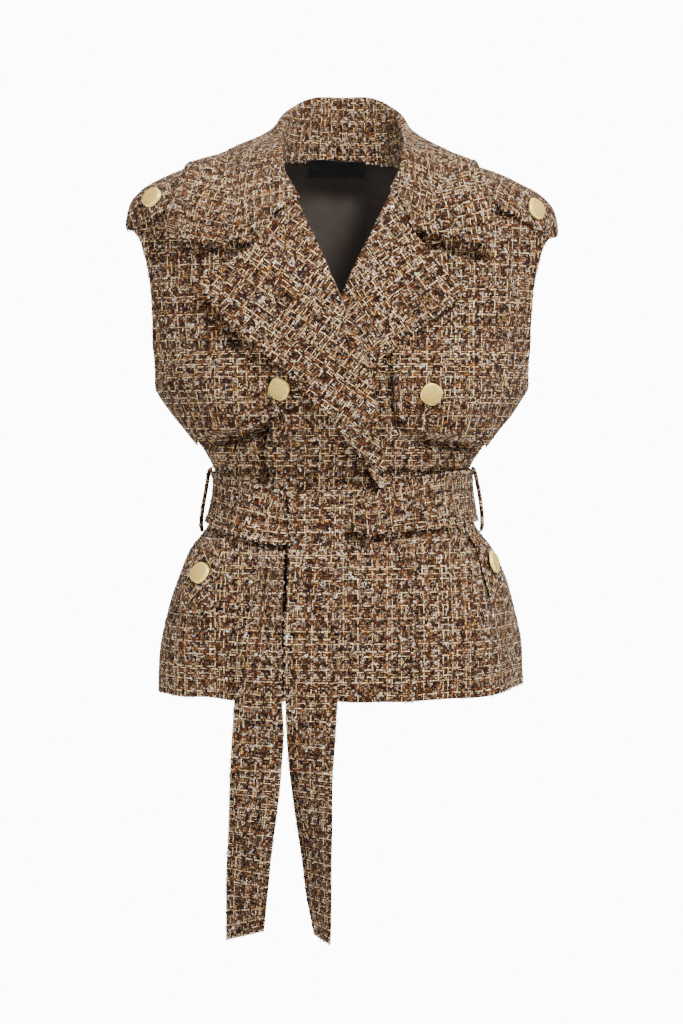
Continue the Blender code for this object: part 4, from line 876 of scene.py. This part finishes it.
# ---- Collar --------------------------------------------------------------------------------------
# One piece round the neck: a stand that rises from the neck seam, a turned top edge, and a broad
# leaf that falls over the shoulders.  Stations run from the centre back (0) to the gorge (1).
COLLAR_SHOULDER = 0.72
COLLAR_RIGHT = table("place fold_x fold_y fold_z mid_x mid_drop edge_x edge_drop",
                     (0.00, 0.0000, 0.0770, 0.0760, 0.000, 0.034, 0.000, 0.072),
                     (0.20, 0.0300, 0.0730, 0.0755, 0.036, 0.029, 0.048, 0.060),
                     (0.40, 0.0520, 0.0570, 0.0640, 0.076, 0.018, 0.098, 0.040),
                     (0.55, 0.0630, 0.0360, 0.0510, 0.098, 0.008, 0.134, 0.021),
                     (0.72, 0.0685, 0.0020, 0.0265, 0.112, -0.003, 0.157, 0.001),
                     (0.82, 0.0675, -0.0348, 0.0128, 0.111, -0.028, 0.163, -0.018),
                     (0.92, 0.0619, -0.0654, -0.0156, 0.102, -0.064, 0.168, -0.044),
                     (1.00, 0.0484, -0.0851, -0.0450, 0.090, -0.0985, 0.170, -0.068))
COLLAR_LEFT = table("place fold_x fold_y fold_z mid_x mid_drop edge_x edge_drop",
                    (0.00, 0.0000, 0.0770, 0.0760, 0.000, 0.034, 0.000, 0.072),
                    (0.20, 0.0300, 0.0730, 0.0755, 0.036, 0.029, 0.046, 0.061),
                    (0.40, 0.0520, 0.0570, 0.0640, 0.073, 0.018, 0.091, 0.042),
                    (0.55, 0.0630, 0.0360, 0.0510, 0.092, 0.008, 0.121, 0.023),
                    (0.72, 0.0685, 0.0020, 0.0265, 0.104, -0.003, 0.137, 0.001),
                    (0.82, 0.0670, -0.0315, 0.0140, 0.100, -0.028, 0.141, -0.020),
                    (0.92, 0.0635, -0.0598, -0.0104, 0.088, -0.060, 0.144, -0.050),
                    (1.00, 0.0524, -0.0778, -0.0348, 0.072, -0.0882, 0.146, -0.079))
for sides in (COLLAR_RIGHT, COLLAR_LEFT):
    for line in ("mid", "edge"):
        sides[line + "_girth"] = girth_of(sides[line + "_x"], sides[line + "_drop"])
LEAF_CROWN, COLLAR_ROLL, COLLAR_OVER_STRAP, COLLAR_FOOT = 0.0025, 0.0041, 0.0040, 0.0045
COLLAR_STANDS_OFF = {-1: 0.0065, 1: 0.0095}       # the leaf's corner above the lapel, on each side
COLLAR_PUFF = 0.0050


def drop_of(x, girth):
    """How far below the shoulder seam a girth comes, negative down the front."""
    reach, curl = shoulder_turn(x, girth >= 0)
    bend = np.minimum(abs(girth) / reach, math.pi / 2)
    return np.sign(girth) * (reach * (1 - np.cos(bend) ** (2 / curl))
                             + np.maximum(abs(girth) - reach * math.pi / 2, 0))


def over_shoulder(x, girth, lift=0.0):
    """Point of the form by its girth: how far from the shoulder seam, negative down the front."""
    side = np.where(girth < 0, -1.0, 1.0)
    return surface(x, shoulder_height(x, side) - abs(drop_of(x, girth)), side, lift)


def collar_seam(place, hand):
    """Distance across and girth of the seam: along the back's neckline, then down the rolled edge."""
    size = abs(place)
    bend = np.clip(size / COLLAR_SHOULDER, 0, 1) * math.pi / 2
    x_back = NECK * np.sin(bend)
    girth_back = girth_of(x_back, BACK_NECK_DROP * np.cos(bend) ** 2)
    corner = shoulder_height(hand * NECK, -1)
    gorge = np.where(hand < 0, LAPEL_RIGHT["roll"][0], LAPEL_LEFT["roll"][0]) + 2 * SEAM_GAP
    down = np.clip((size - COLLAR_SHOULDER) / (1 - COLLAR_SHOULDER), 0, 1)
    z = corner + drop_of(NECK, girth_of(NECK, gorge - corner) * down)
    x_front = np.where(hand < 0, smooth(z, EDGE_TOP["height"], -EDGE_TOP["across"]),
                       smooth(z, EDGE_UNDER["height"], EDGE_UNDER["across"]))
    girth_front = girth_of(x_front, np.minimum(z - shoulder_height(hand * x_front, -1), 0))
    behind = size < COLLAR_SHOULDER
    return hand * np.where(behind, x_back, x_front), np.where(behind, girth_back, girth_front)


def collar_points(place, across):
    """Stand (across -2 to -1), turned top edge (-1 to 0) and leaf (0 to 1) of the collar.

    The leaf lies on the shoulders at its free edge; towards the turned edge it keeps the rise of
    that edge over the neck seam, fading by a power of how far it has come.
    """
    hand = np.where(place < 0, -1.0, 1.0)
    size = abs(place)

    def column(key):
        return np.where(hand < 0, smooth(size, COLLAR_RIGHT["place"], COLLAR_RIGHT[key]),
                        smooth(size, COLLAR_LEFT["place"], COLLAR_LEFT[key]))
    seam_x, seam_girth = collar_seam(place, hand)
    seam = over_shoulder(seam_x, seam_girth)
    lying = over_shoulder(seam_x, seam_girth, LEAF_LIFT)
    fold = np.stack([hand * column("fold_x"), column("fold_y"), column("fold_z")], -1)
    sideways = unit(np.stack([seam[..., 0], np.maximum(seam[..., 1], 0) + 1e-4, 0 * size], -1))
    front_share = ramp(size, COLLAR_SHOULDER, 1.0)[..., None]
    out = unit(sideways * (1 - front_share) + unit(lying - seam) * front_share)
    middle = over_shoulder(hand * column("mid_x"), column("mid_girth"))
    inward = unit(seam - middle)
    end_fold = seam + out * COLLAR_ROLL + inward * COLLAR_FOOT
    fold = fold + (end_fold - fold) * ramp(size, 0.88, 1.0)[..., None]
    rise = (fold - seam) + inward * 0.0012
    rise = unit(rise - out * np.sum(rise * out, -1, keepdims=True))
    foot = seam + rise * FOLD_GAP * 2
    inside = over_shoulder(seam_x, seam_girth + 0.0030, -LINING_SLACK - SEWN_LIFT)
    foot = foot + (inside - foot) * (1 - ramp(size, 0.58, 0.72))[..., None]
    stand = foot + (fold - out * COLLAR_ROLL - foot) * np.clip(across + 2, 0, 1)[..., None]
    angle = (np.clip(across, -1, 0)[..., None] + 0.5) * math.pi
    turned = fold + COLLAR_ROLL * (np.sin(angle) * out + np.cos(angle) * rise)
    t = np.clip(across, 0, 1)
    flat = bent(t, np.stack([seam_x, seam_girth], -1),
                np.stack([hand * column("mid_x"), column("mid_girth")], -1),
                np.stack([hand * column("edge_x"), column("edge_girth")], -1))
    over_strap = (COLLAR_OVER_STRAP * ramp(t, 0.45, 0.8) * ramp(size, 0.50, 0.64)
                  * (1 - ramp(size, 0.93, 1.06)))
    stands_off = np.where(hand > 0, COLLAR_STANDS_OFF[1], COLLAR_STANDS_OFF[-1]) * ramp(t, 0.55, 1.0)
    stands_off = stands_off * ramp(size, 0.70, 0.92)
    leaf = over_shoulder(flat[..., 0], flat[..., 1],
                         LEAF_LIFT + over_strap + stands_off + LEAF_CROWN * np.sin(math.pi * t))
    leaf = leaf + (fold + COLLAR_ROLL * out - lying) * ((1 - t) ** 1.7)[..., None]
    puff = COLLAR_PUFF * np.sin(np.clip(t / 0.7, 0, 1) * math.pi) * (1 - ramp(size, 0.7, 0.95))
    leaf = leaf + sideways * puff[..., None]
    return np.where((across >= 0)[..., None], leaf, np.where((across < -1)[..., None], stand, turned))


half = np.concatenate([np.linspace(0, COLLAR_SHOULDER, 60)[:-1],
                       COLLAR_SHOULDER + (1 - COLLAR_SHOULDER) * np.concatenate(
                           [np.linspace(0, 0.92, 40), 1 - np.array(EDGE_STEPS[::-1]) * 10, [1.0]])])
across = np.concatenate([np.linspace(-2, -1, 14)[:-1], np.linspace(-1, 0, 12)[:-1], edged(0, 1, 0.10)])
place, across = np.meshgrid(np.concatenate([-half[:0:-1], half]), across, indexing="ij")
collar_grid = collar_points(place, across)
COLLAR_CUT_RADIUS = 0.50          # the leaf is cut as a slice of a ring of this radius
run, fall = lengths(collar_grid, 0), lengths(collar_grid, 1)
top_column = int(np.argmin(abs(across[0])))
run = (run - run[len(half) - 1])[:, top_column, None] / COLLAR_CUT_RADIUS
fall = COLLAR_CUT_RADIUS + fall
cloth("collar", collar_grid, tweed, stitch=1.0, thickness=FACED,
      chart=(fall * np.sin(run), -fall * np.cos(run)))

# ---- Shoulder straps -----------------------------------------------------------------------------
# A short strap on each shoulder, sewn under the collar's edge and buttoned down near the armhole.
STRAP_LIFT = 0.0082
STRAP_TOP, STRAP_BOTTOM = (0.0012, 0.0035), 0.0400       # drop of the edges, from the collar to the tip
STRAP_INNER = {-1: 0.143, 1: 0.122}
STRAP_TIP, STRAP_CORNER = 0.2165, 0.008


def strap(name, hand):
    """Strip along the shoulder; a square law draws in the corners of its tip."""
    along, across = np.meshgrid(edged(0, 1, 0.085), edged(-1, 1, 0.045), indexing="ij")
    corner = STRAP_CORNER * np.clip((abs(across) - 0.5) / 0.5, 0, 1) ** 2
    x = STRAP_INNER[hand] + (STRAP_TIP - corner - STRAP_INNER[hand]) * along
    first = girth_of(x, -(STRAP_TOP[0] + (STRAP_TOP[1] - STRAP_TOP[0]) * along))
    last = girth_of(x, -STRAP_BOTTOM + 0 * x)
    lift = STRAP_LIFT - (STRAP_LIFT - FLAP_LIFT - SEWN_LIFT - SEAM_GAP * 2) * ramp(along, 0.9, 1.0)
    grid = over_shoulder(hand * x, first + (last - first) * (across + 1) / 2, lift)
    cloth(name, grid, tweed, stitch=1.0, thickness=FACED, grain=14 * hand)


strap("shoulder_strap_right", -1)
strap("shoulder_strap_left", 1)

# ---- Belt ----------------------------------------------------------------------------------------
# A soft tweed belt round the waist over the loops, knotted a little to the wearer's right.  The turn
# is the angle round the body; the band is gathered into creases where it goes into the knot.
BELT_WALL, BELT_WIDTH = 0.0024, 0.052
BELT_CREASE, BELT_CUSHION = 0.0022, 0.0016
BAND = table("turn middle width lift",
             (-366, -0.3615, 0.032, 0.0092), (-357, -0.3620, 0.034, 0.0078), (-349, -0.3630, 0.040, 0.0060),
             (-337, -0.3575, 0.045, 0.0052), (-315, -0.3500, 0.054, 0.0050), (-283, -0.3468, 0.053, 0.0052),
             (-180, -0.3440, 0.052, 0.0050), (-85, -0.3480, 0.050, 0.0050), (-48, -0.3577, 0.053, 0.0052),
             (-33, -0.3647, 0.053, 0.0056), (-23, -0.3685, 0.048, 0.0072), (-11, -0.3690, 0.040, 0.0092))


def along_strip(grid, across):
    """Weave chart of a length of belt: across it and along its middle."""
    return across * BELT_WIDTH + 0.0012, lengths(grid, 0)[:, across.shape[1] // 2, None] + 0 * across


def around(turn, z, lift):
    """Point of the form at an angle round the body, below the underarm."""
    turn = (turn + 180) % 360 - 180
    side = np.where(abs(turn) > 90, 1.0, -1.0)
    quarter = np.where(side > 0, np.sign(turn) * (180 - abs(turn)), turn) / 90
    return surface(place_x(quarter, z), z, side, lift)


turn, across = np.meshgrid(np.linspace(-366, -11, 300), edged(-0.5, 0.5, BELT_WIDTH), indexing="ij")
z = smooth(turn, BAND["turn"], BAND["middle"]) + across * smooth(turn, BAND["turn"], BAND["width"])
toward = np.maximum(ramp(turn, -62, -14), 1 - ramp(turn, -362, -308))
crease = BELT_CREASE * toward * (0.6 - abs(np.sin(across * 7.5 + turn * 0.035)) ** 0.7
                                 + 0.5 * np.sin(across * 27 - turn * 0.05 + 1.0))
slack = 0.0007 * np.sin(turn * 0.11 + 2.2 * across) + 0.0005 * np.sin(turn * 0.23 - 3.1 * across)
cushion = BELT_CUSHION * (1 - (2 * across) ** 2)
band_grid = around(turn, z, smooth(turn, BAND["turn"], BAND["lift"]) + crease + slack + cushion)
cloth("belt_band", band_grid, tweed, chart=along_strip(band_grid, across),
      thickness=BELT_WALL, stitch=0.6)

KNOT_X = (-0.0495, 0.0015)
KNOT_TOP, KNOT_BOTTOM = -0.3415, -0.3980
KNOT_BEHIND, KNOT_BEFORE, KNOT_HIDDEN = 0.0042, 0.0136, 0.026
along, across = np.meshgrid(np.concatenate([np.linspace(0, 1, 10)[:-1], np.linspace(1, 2, 16)[:-1],
                                            np.linspace(2, 3, 26)]), edged(0, 1, 0.051), indexing="ij")
middle, radius = (KNOT_BEHIND + KNOT_BEFORE) / 2, (KNOT_BEFORE - KNOT_BEHIND) / 2
turned = (np.clip(along, 1, 2) - 1) * math.pi
in_front = KNOT_BEFORE + 0.0020 * np.sin((along - 2) * math.pi) - 0.0020 * ramp(along, 2.5, 3.0)
z = (KNOT_TOP - radius + radius * np.sin(turned) - KNOT_HIDDEN * np.clip(1 - along, 0, 1)
     + (KNOT_BOTTOM - KNOT_TOP + radius) * np.clip(along - 2, 0, 1))
x = KNOT_X[0] + (KNOT_X[1] - KNOT_X[0]) * across
knot_grid = surface(x, z, -1, np.where(along < 2, middle - radius * np.cos(turned), in_front))
cloth("belt_knot", knot_grid, tweed, chart=along_strip(knot_grid, across),
      thickness=BELT_WALL, stitch=0.6)

# The two free ends hang in front of the skirt and straight down below the hem.
TAIL_RIGHT = table("height across width twist",
                   (-0.7840, -0.0963, 0.0520, 40), (-0.7430, -0.0943, 0.0520, 36),
                   (-0.6900, -0.0908, 0.0520, 28), (-0.6180, -0.0852, 0.0520, 8),
                   (-0.5829, -0.0832, 0.0525, 4), (-0.5467, -0.0830, 0.0480, 0),
                   (-0.4986, -0.0800, 0.0410, 0), (-0.4485, -0.0745, 0.0320, 0),
                   (-0.4015, -0.0695, 0.0235, 0))
TAIL_LEFT = table("height across width twist",
                  (-0.7844, -0.0193, 0.0520, 73), (-0.7493, -0.0225, 0.0520, 63),
                  (-0.7080, -0.0250, 0.0520, 56), (-0.6720, -0.0273, 0.0520, 47),
                  (-0.6180, -0.0305, 0.0520, 34), (-0.5800, -0.0305, 0.0520, 20),
                  (-0.5457, -0.0300, 0.0520, 8), (-0.4485, -0.0280, 0.0530, 0),
                  (-0.3990, -0.0240, 0.0510, 0))
TAIL_LIFT = 0.0062


def tail(name, cut, slant, top_lift):
    """Hanging strip, slanted at its end and rippled in slow waves, turned about its length below the hem."""
    length = cut["height"][-1] - cut["height"][0]
    height, across = np.meshgrid(edged(cut["height"][0], cut["height"][-1], length),
                                 edged(-0.5, 0.5, BELT_WIDTH), indexing="ij")
    z = height + slant * across * (1 - ramp(height, cut["height"][0], cut["height"][0] + 0.06))
    twist = np.radians(smooth(height, cut["height"], cut["twist"]))
    width = smooth(height, cut["height"], cut["width"])
    x = smooth(height, cut["height"], cut["across"]) + across * width * np.cos(twist)
    lift = TAIL_LIFT + (top_lift - TAIL_LIFT) * ramp(height, cut["height"][-1] - 0.06, cut["height"][-1])
    ripple = 0.0008 * np.sin(height * 55 + across * 5) + 0.0012 * across * np.sin(height * 31 + 1.0)
    grid = surface(x, np.maximum(z, HEM + 0.004), -1, lift + ripple)
    grid[..., 2] += np.minimum(z - HEM - 0.004, 0)
    grid[..., 1] -= across * width * np.sin(twist) * ramp(-z, -HEM, -HEM + 0.05)
    cloth(name, grid, tweed,
          thickness=BELT_WALL, stitch=0.6,
          chart=along_strip(grid, across))


tail("belt_tail_right", TAIL_RIGHT, 0.0190, 0.0044)
tail("belt_tail_left", TAIL_LEFT, 0.0, 0.0116)

# ---- Belt loops ----------------------------------------------------------------------------------
# A narrow strip at each side seam, standing off as a bow through which the belt runs.
LOOP_TOP, LOOP_BOTTOM, LOOP_BOW, LOOP_WIDTH, LOOP_WALL = -0.318, -0.383, 0.0118, 0.012, 0.0040


def loop(name, hand):
    """Strip that bows out between its sewn ends by a power of a sine."""
    along, across = np.meshgrid((1 - np.cos(np.linspace(0, math.pi, 60))) / 2, np.linspace(-0.5, 0.5, 7),
                                indexing="ij")
    z = LOOP_TOP + (LOOP_BOTTOM - LOOP_TOP) * along
    lift = SEWN_LIFT + SEAM_GAP * 3 + LOOP_BOW * np.sin(along * math.pi) ** 0.55
    grid = surface(place_x(hand * 1.0, z), z, -1, lift) + np.stack([0 * z, across * LOOP_WIDTH, 0 * z], -1)
    cloth(name, grid, tweed, thickness=LOOP_WALL,
          grain=38)


loop("belt_loop_right", -1)
loop("belt_loop_left", 1)

# ---- Pocket welts --------------------------------------------------------------------------------
# A slanted strip over each pocket mouth, its weave cut on the bias, held down by a button.
WELT_RIGHT = {"top": (-0.66, -0.390), "bottom": (-0.60, -0.462)}      # share of the quarter turn, height
WELT_LEFT = {"top": (0.77, -0.384), "bottom": (0.71, -0.452)}
WELT_SHARE, WELT_LIFT = 0.16, 0.0040


def welt(name, cut, ride):
    """Slanted strip laid on the front between the two places of its cut."""
    along, across = np.meshgrid(edged(0, 1, 0.073), edged(-0.5, 0.5, 0.036), indexing="ij")
    (top_share, top_z), (low_share, low_z) = cut["top"], cut["bottom"]
    z = top_z + (low_z - top_z) * along
    x = place_x(top_share + (low_share - top_share) * along + across * WELT_SHARE, z)
    cloth(name, surface(x, z, -1, ride(x, z) + WELT_LIFT), tweed,
          grain=42, stitch=1.0)


welt("pocket_welt_right", WELT_RIGHT, ride_top)
welt("pocket_welt_left", WELT_LEFT, ride_under)

# ---- Label ---------------------------------------------------------------------------------------
# A bare black woven ribbon, sewn to the lining below the back neckline by its two ends.
LABEL_SIZE = (0.060, 0.0195)
LABEL_WALL = 0.0006
ribbon, tree, shader = material("black_ribbon", {"Roughness": 0.62})
ribs = node(tree, "ShaderNodeTexWave", {"Scale": 700, "Vector": map_of(tree, "weave")}, bands_direction="Y")
rib = ribs.outputs["Fac"]
feed(tree, shader.inputs["Base Color"], mixed(tree, rib, (0.002, 0.002, 0.003), (0.009, 0.009, 0.010)))
press(tree, shader, rib, 0.5, 0.0002)

up, across = np.meshgrid(np.linspace(0, 1, 24), edged(-0.5, 0.5, 0.060), indexing="ij")
x = -0.0070 + across * LABEL_SIZE[0]
z = (shoulder_height(x, 1) - BACK_NECK_DROP * (1 - (x / NECK) ** 2) + 0.0020 + (up - 1) * LABEL_SIZE[1])
label_grid = surface(x, z, 1, -LINING_SLACK - 0.0024 - 0.0020 * ramp(up, 0.3, 0.8))
cloth("label", label_grid, ribbon,
      thickness=LABEL_WALL, slot="label")

# ---- Buttons -------------------------------------------------------------------------------------
# Six domed buttons of pale gold metal, rounded squares set on a corner, their faces cut into a fine
# waffle of small pyramids.  A point of the square grid is drawn in to the rounded square's outline.
BUTTON_WIDTH, BUTTON_HEIGHT, BUTTON_SQUARE, BUTTON_TURN = 0.0215, 0.0050, 2.6, math.radians(30)
WAFFLE_PITCH, WAFFLE_DEPTH = 0.00230, 0.00050
BUTTON_POWER, BUTTON_EDGE = 3.2, 0.0009              # power of the dome, and drop of its rounded edge
gold, tree, shader = material("pale_gold", {"Metallic": 0.2, "Roughness": 0.38})
spot = node(tree, "ShaderNodeTexCoord", {}).outputs["Object"]
tone = mixed(tree, noise(tree, spot, 260, 3).outputs[0], (1.00, 0.69, 0.13), (1.00, 0.80, 0.22))
# Painted shade: the colour turns dark brown along the waffle's grooves, read from the groove map.
split = node(tree, "ShaderNodeSeparateXYZ", {0: map_of(tree, "groove")})
feed(tree, shader.inputs["Base Color"], mixed(tree, split.outputs[0], tone, (0.26, 0.12, 0.02)))


def button(name, x, z, lift):
    """Dome over a rounded square: its height falls by a power of the way out, then a straight side."""
    step = BUTTON_WIDTH / 2

    def seat(x, z):
        return surface(x, z, -1, lift(x, z) + 0.0010 + SEAM_GAP)
    centre, beside, below = seat(x, z), seat(x + step, z), seat(x, z - step)
    right = unit(beside - centre)
    face = unit(np.cross(right, unit(centre - below)))
    face = face if face[1] < 0 else -face
    up = np.cross(face, right)
    round_angles = np.linspace(0, 2 * math.pi, 13)
    rim = seat(x + step * np.cos(round_angles), z + step * np.sin(round_angles))
    foot = centre + face * (SEAM_GAP + max(0.0, float(np.max((rim - centre) @ face))))
    s, t = np.meshgrid(np.linspace(-1, 1, 75), np.linspace(-1, 1, 75), indexing="xy")
    biggest = np.maximum(np.maximum(abs(s), abs(t)), 1e-9)
    rounded = (abs(s) ** BUTTON_SQUARE + abs(t) ** BUTTON_SQUARE) ** (1 / BUTTON_SQUARE)
    draw_in = biggest / np.maximum(rounded, 1e-9)
    s, t = s * draw_in, t * draw_in
    out = np.minimum(biggest, 1.0)
    a = (s * math.cos(BUTTON_TURN) + t * math.sin(BUTTON_TURN)) * step
    b = (t * math.cos(BUTTON_TURN) - s * math.sin(BUTTON_TURN)) * step
    dome = BUTTON_HEIGHT * (0.36 + 0.64 * (1 - out**BUTTON_POWER)) - BUTTON_EDGE * ramp(out, 0.93, 1.0)
    grooves = np.maximum(abs(np.cos(s * step * math.pi / WAFFLE_PITCH)),
                         abs(np.cos(t * step * math.pi / WAFFLE_PITCH)))
    cut_into = 1 - ramp(out, 0.84, 0.90)
    waffle = WAFFLE_DEPTH * (1 - grooves**6) * cut_into
    top = foot + a[..., None] * right + b[..., None] * up + (dome + waffle)[..., None] * face
    low = foot + a[..., None] * right + b[..., None] * up + 0.00005 * face
    made = closed_skin(name + "_metal", top, low, gold)
    # painted shade of the grooves: 1 in the waffle's grooves, 0 on its pyramids and past the waffle
    groove = np.tile((grooves**4 * cut_into).ravel(), 2)
    map_points(made, "groove", np.stack([groove, 0 * groove], -1))
    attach(made, "root")
    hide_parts(name)


button("button_flap_right", -0.0610, -0.2370, lambda x, z: ride_top(x, z) + FLAP_LIFT + 0.0004)
button("button_flap_left", 0.0880, -0.2420, lambda x, z: ride_under(x, z) + FLAP_LIFT + 0.0004)
button("button_strap_right", -0.1900, -0.0470, lambda x, z: STRAP_LIFT + 0.0004)
button("button_strap_left", 0.1920, -0.0580, lambda x, z: STRAP_LIFT + 0.0001)
button("button_pocket_right", -0.1390, -0.4240, lambda x, z: ride_top(x, z) + WELT_LIFT)
button("button_pocket_left", 0.1500, -0.4140, lambda x, z: ride_under(x, z) + WELT_LIFT)

# ---- Slubs ---------------------------------------------------------------------------------------
# Loose curls of thicker yarn that stand out of the tweed, most of them off-white, closer together
# along the edges, where the cloth is rough.  Each is a bent tube that tapers at both ends.
SLUBS_PER_SQUARE_METRE = 5600
SLUBS_PER_EDGE_POINT = 1.155            # of the grid, about 330 to the metre
SLUB_STEPS, SLUB_SIDES = 6, 4
curled, tree, shader = material("curled_yarn",
                                {"Roughness": 0.9, "Sheen Weight": 0.05, "Specular IOR Level": 0.1})
kind = node(tree, "ShaderNodeSeparateXYZ", {0: map_of(tree, "weave")}).outputs[0]
feed(tree, shader.inputs["Base Color"],
     palette(tree, kind, ((0.00, (0.860, 0.750, 0.590)), (0.28, (0.620, 0.440, 0.340)),
                          (0.50, (0.560, 0.300, 0.070)), (0.62, (0.330, 0.080, 0.020)),
                          (0.70, (0.060, 0.028, 0.014)), (0.86, (0.012, 0.010, 0.012)))))
draw = np.random.default_rng(11)


def scattered(outer, normal):
    """Random places on a grid, as many to the square metre everywhere, and more along its edges."""
    side, run = outer[:-1, 1:] - outer[:-1, :-1], outer[1:, :-1] - outer[:-1, :-1]
    area = np.linalg.norm(np.cross(side, run), axis=-1)
    chosen = draw.choice(area.size, int(area.sum() * SLUBS_PER_SQUARE_METRE), p=area.ravel() / area.sum())
    row, column = np.unravel_index(chosen, area.shape)
    rim = np.concatenate([np.stack([np.full(area.shape[1], r), np.arange(area.shape[1])], -1)
                          for r in (0, area.shape[0] - 1)]
                         + [np.stack([np.arange(area.shape[0]), np.full(area.shape[0], c)], -1)
                            for c in (0, area.shape[1] - 1)])
    picked = rim[draw.choice(len(rim), int(len(rim) * SLUBS_PER_EDGE_POINT))]
    row, column = np.concatenate([row, picked[:, 0]]), np.concatenate([column, picked[:, 1]])
    s, t = draw.random((2, len(row), 1))
    return outer[row, column] + side[row, column] * s + run[row, column] * t, normal[row, column]


def slubs(name, *pieces):
    """Tubes along arcs on the cloth: radius of the arc 0.7 to 2 mm, up to 1 mm high in the middle."""
    found = [scattered(*COVER[piece]) for piece in pieces]
    at, face = (np.concatenate(part) for part in zip(*found))
    count = len(at)
    first = unit(np.cross(face, draw.normal(size=(count, 3))))
    second = np.cross(face, first)
    bow, sweep = draw.uniform(0.0007, 0.0020, (2, count, 1))[0], draw.uniform(1.3, 5.2, (count, 1))
    t = np.linspace(0, 1, SLUB_STEPS)
    angle = sweep * t
    high = draw.uniform(0.0002, 0.0008, (count, 1)) * np.sin(math.pi * t) - 0.0002
    spine = (at[:, None] + first[:, None] * (bow * np.cos(angle))[..., None]
             + second[:, None] * (bow * np.sin(angle) * draw.uniform(0.5, 1, (count, 1)))[..., None]
             + face[:, None] * high[..., None])
    ahead = unit(np.gradient(spine, axis=1))
    beside = unit(np.cross(ahead, np.broadcast_to(face[:, None], ahead.shape)))
    above = np.cross(beside, ahead)
    thick = draw.uniform(0.00022, 0.00046, (count, 1)) * (0.35 + 0.65 * np.sin(math.pi * t))
    turn = np.arange(SLUB_SIDES) * 2 * math.pi / SLUB_SIDES
    ring = (beside[:, :, None] * np.cos(turn)[:, None] + above[:, :, None] * np.sin(turn)[:, None])
    points = spine[:, :, None] + ring * thick[..., None, None]
    number = np.arange(count * SLUB_STEPS * SLUB_SIDES).reshape(count, SLUB_STEPS, SLUB_SIDES)
    beyond = np.roll(number, -1, axis=2)
    skin = np.stack([number[:, :-1], number[:, 1:], beyond[:, 1:], beyond[:, :-1]], -1).reshape(-1, 4)
    ends = np.concatenate([number[:, 0], number[:, -1, ::-1]])
    made = mesh_object(name, points.reshape(-1, 3), np.concatenate([skin, ends])[:, ::-1], curled)
    key = np.repeat(draw.random(count), SLUB_STEPS * SLUB_SIDES)
    map_points(made, "weave", np.stack([key, 0 * key], -1))
    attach(made, "root")


slubs("slubs_back", "back")
slubs("slubs_fronts", "front_right", "front_left")
slubs("slubs_collar", "collar", "lapel_right", "lapel_left")
slubs("slubs_flaps", "storm_flap_right", "storm_flap_left", "shoulder_strap_right", "shoulder_strap_left",
      "pocket_welt_right", "pocket_welt_left")
slubs("slubs_belt", "belt_band", "belt_knot", "belt_tail_right", "belt_tail_left", "belt_loop_right",
      "belt_loop_left")
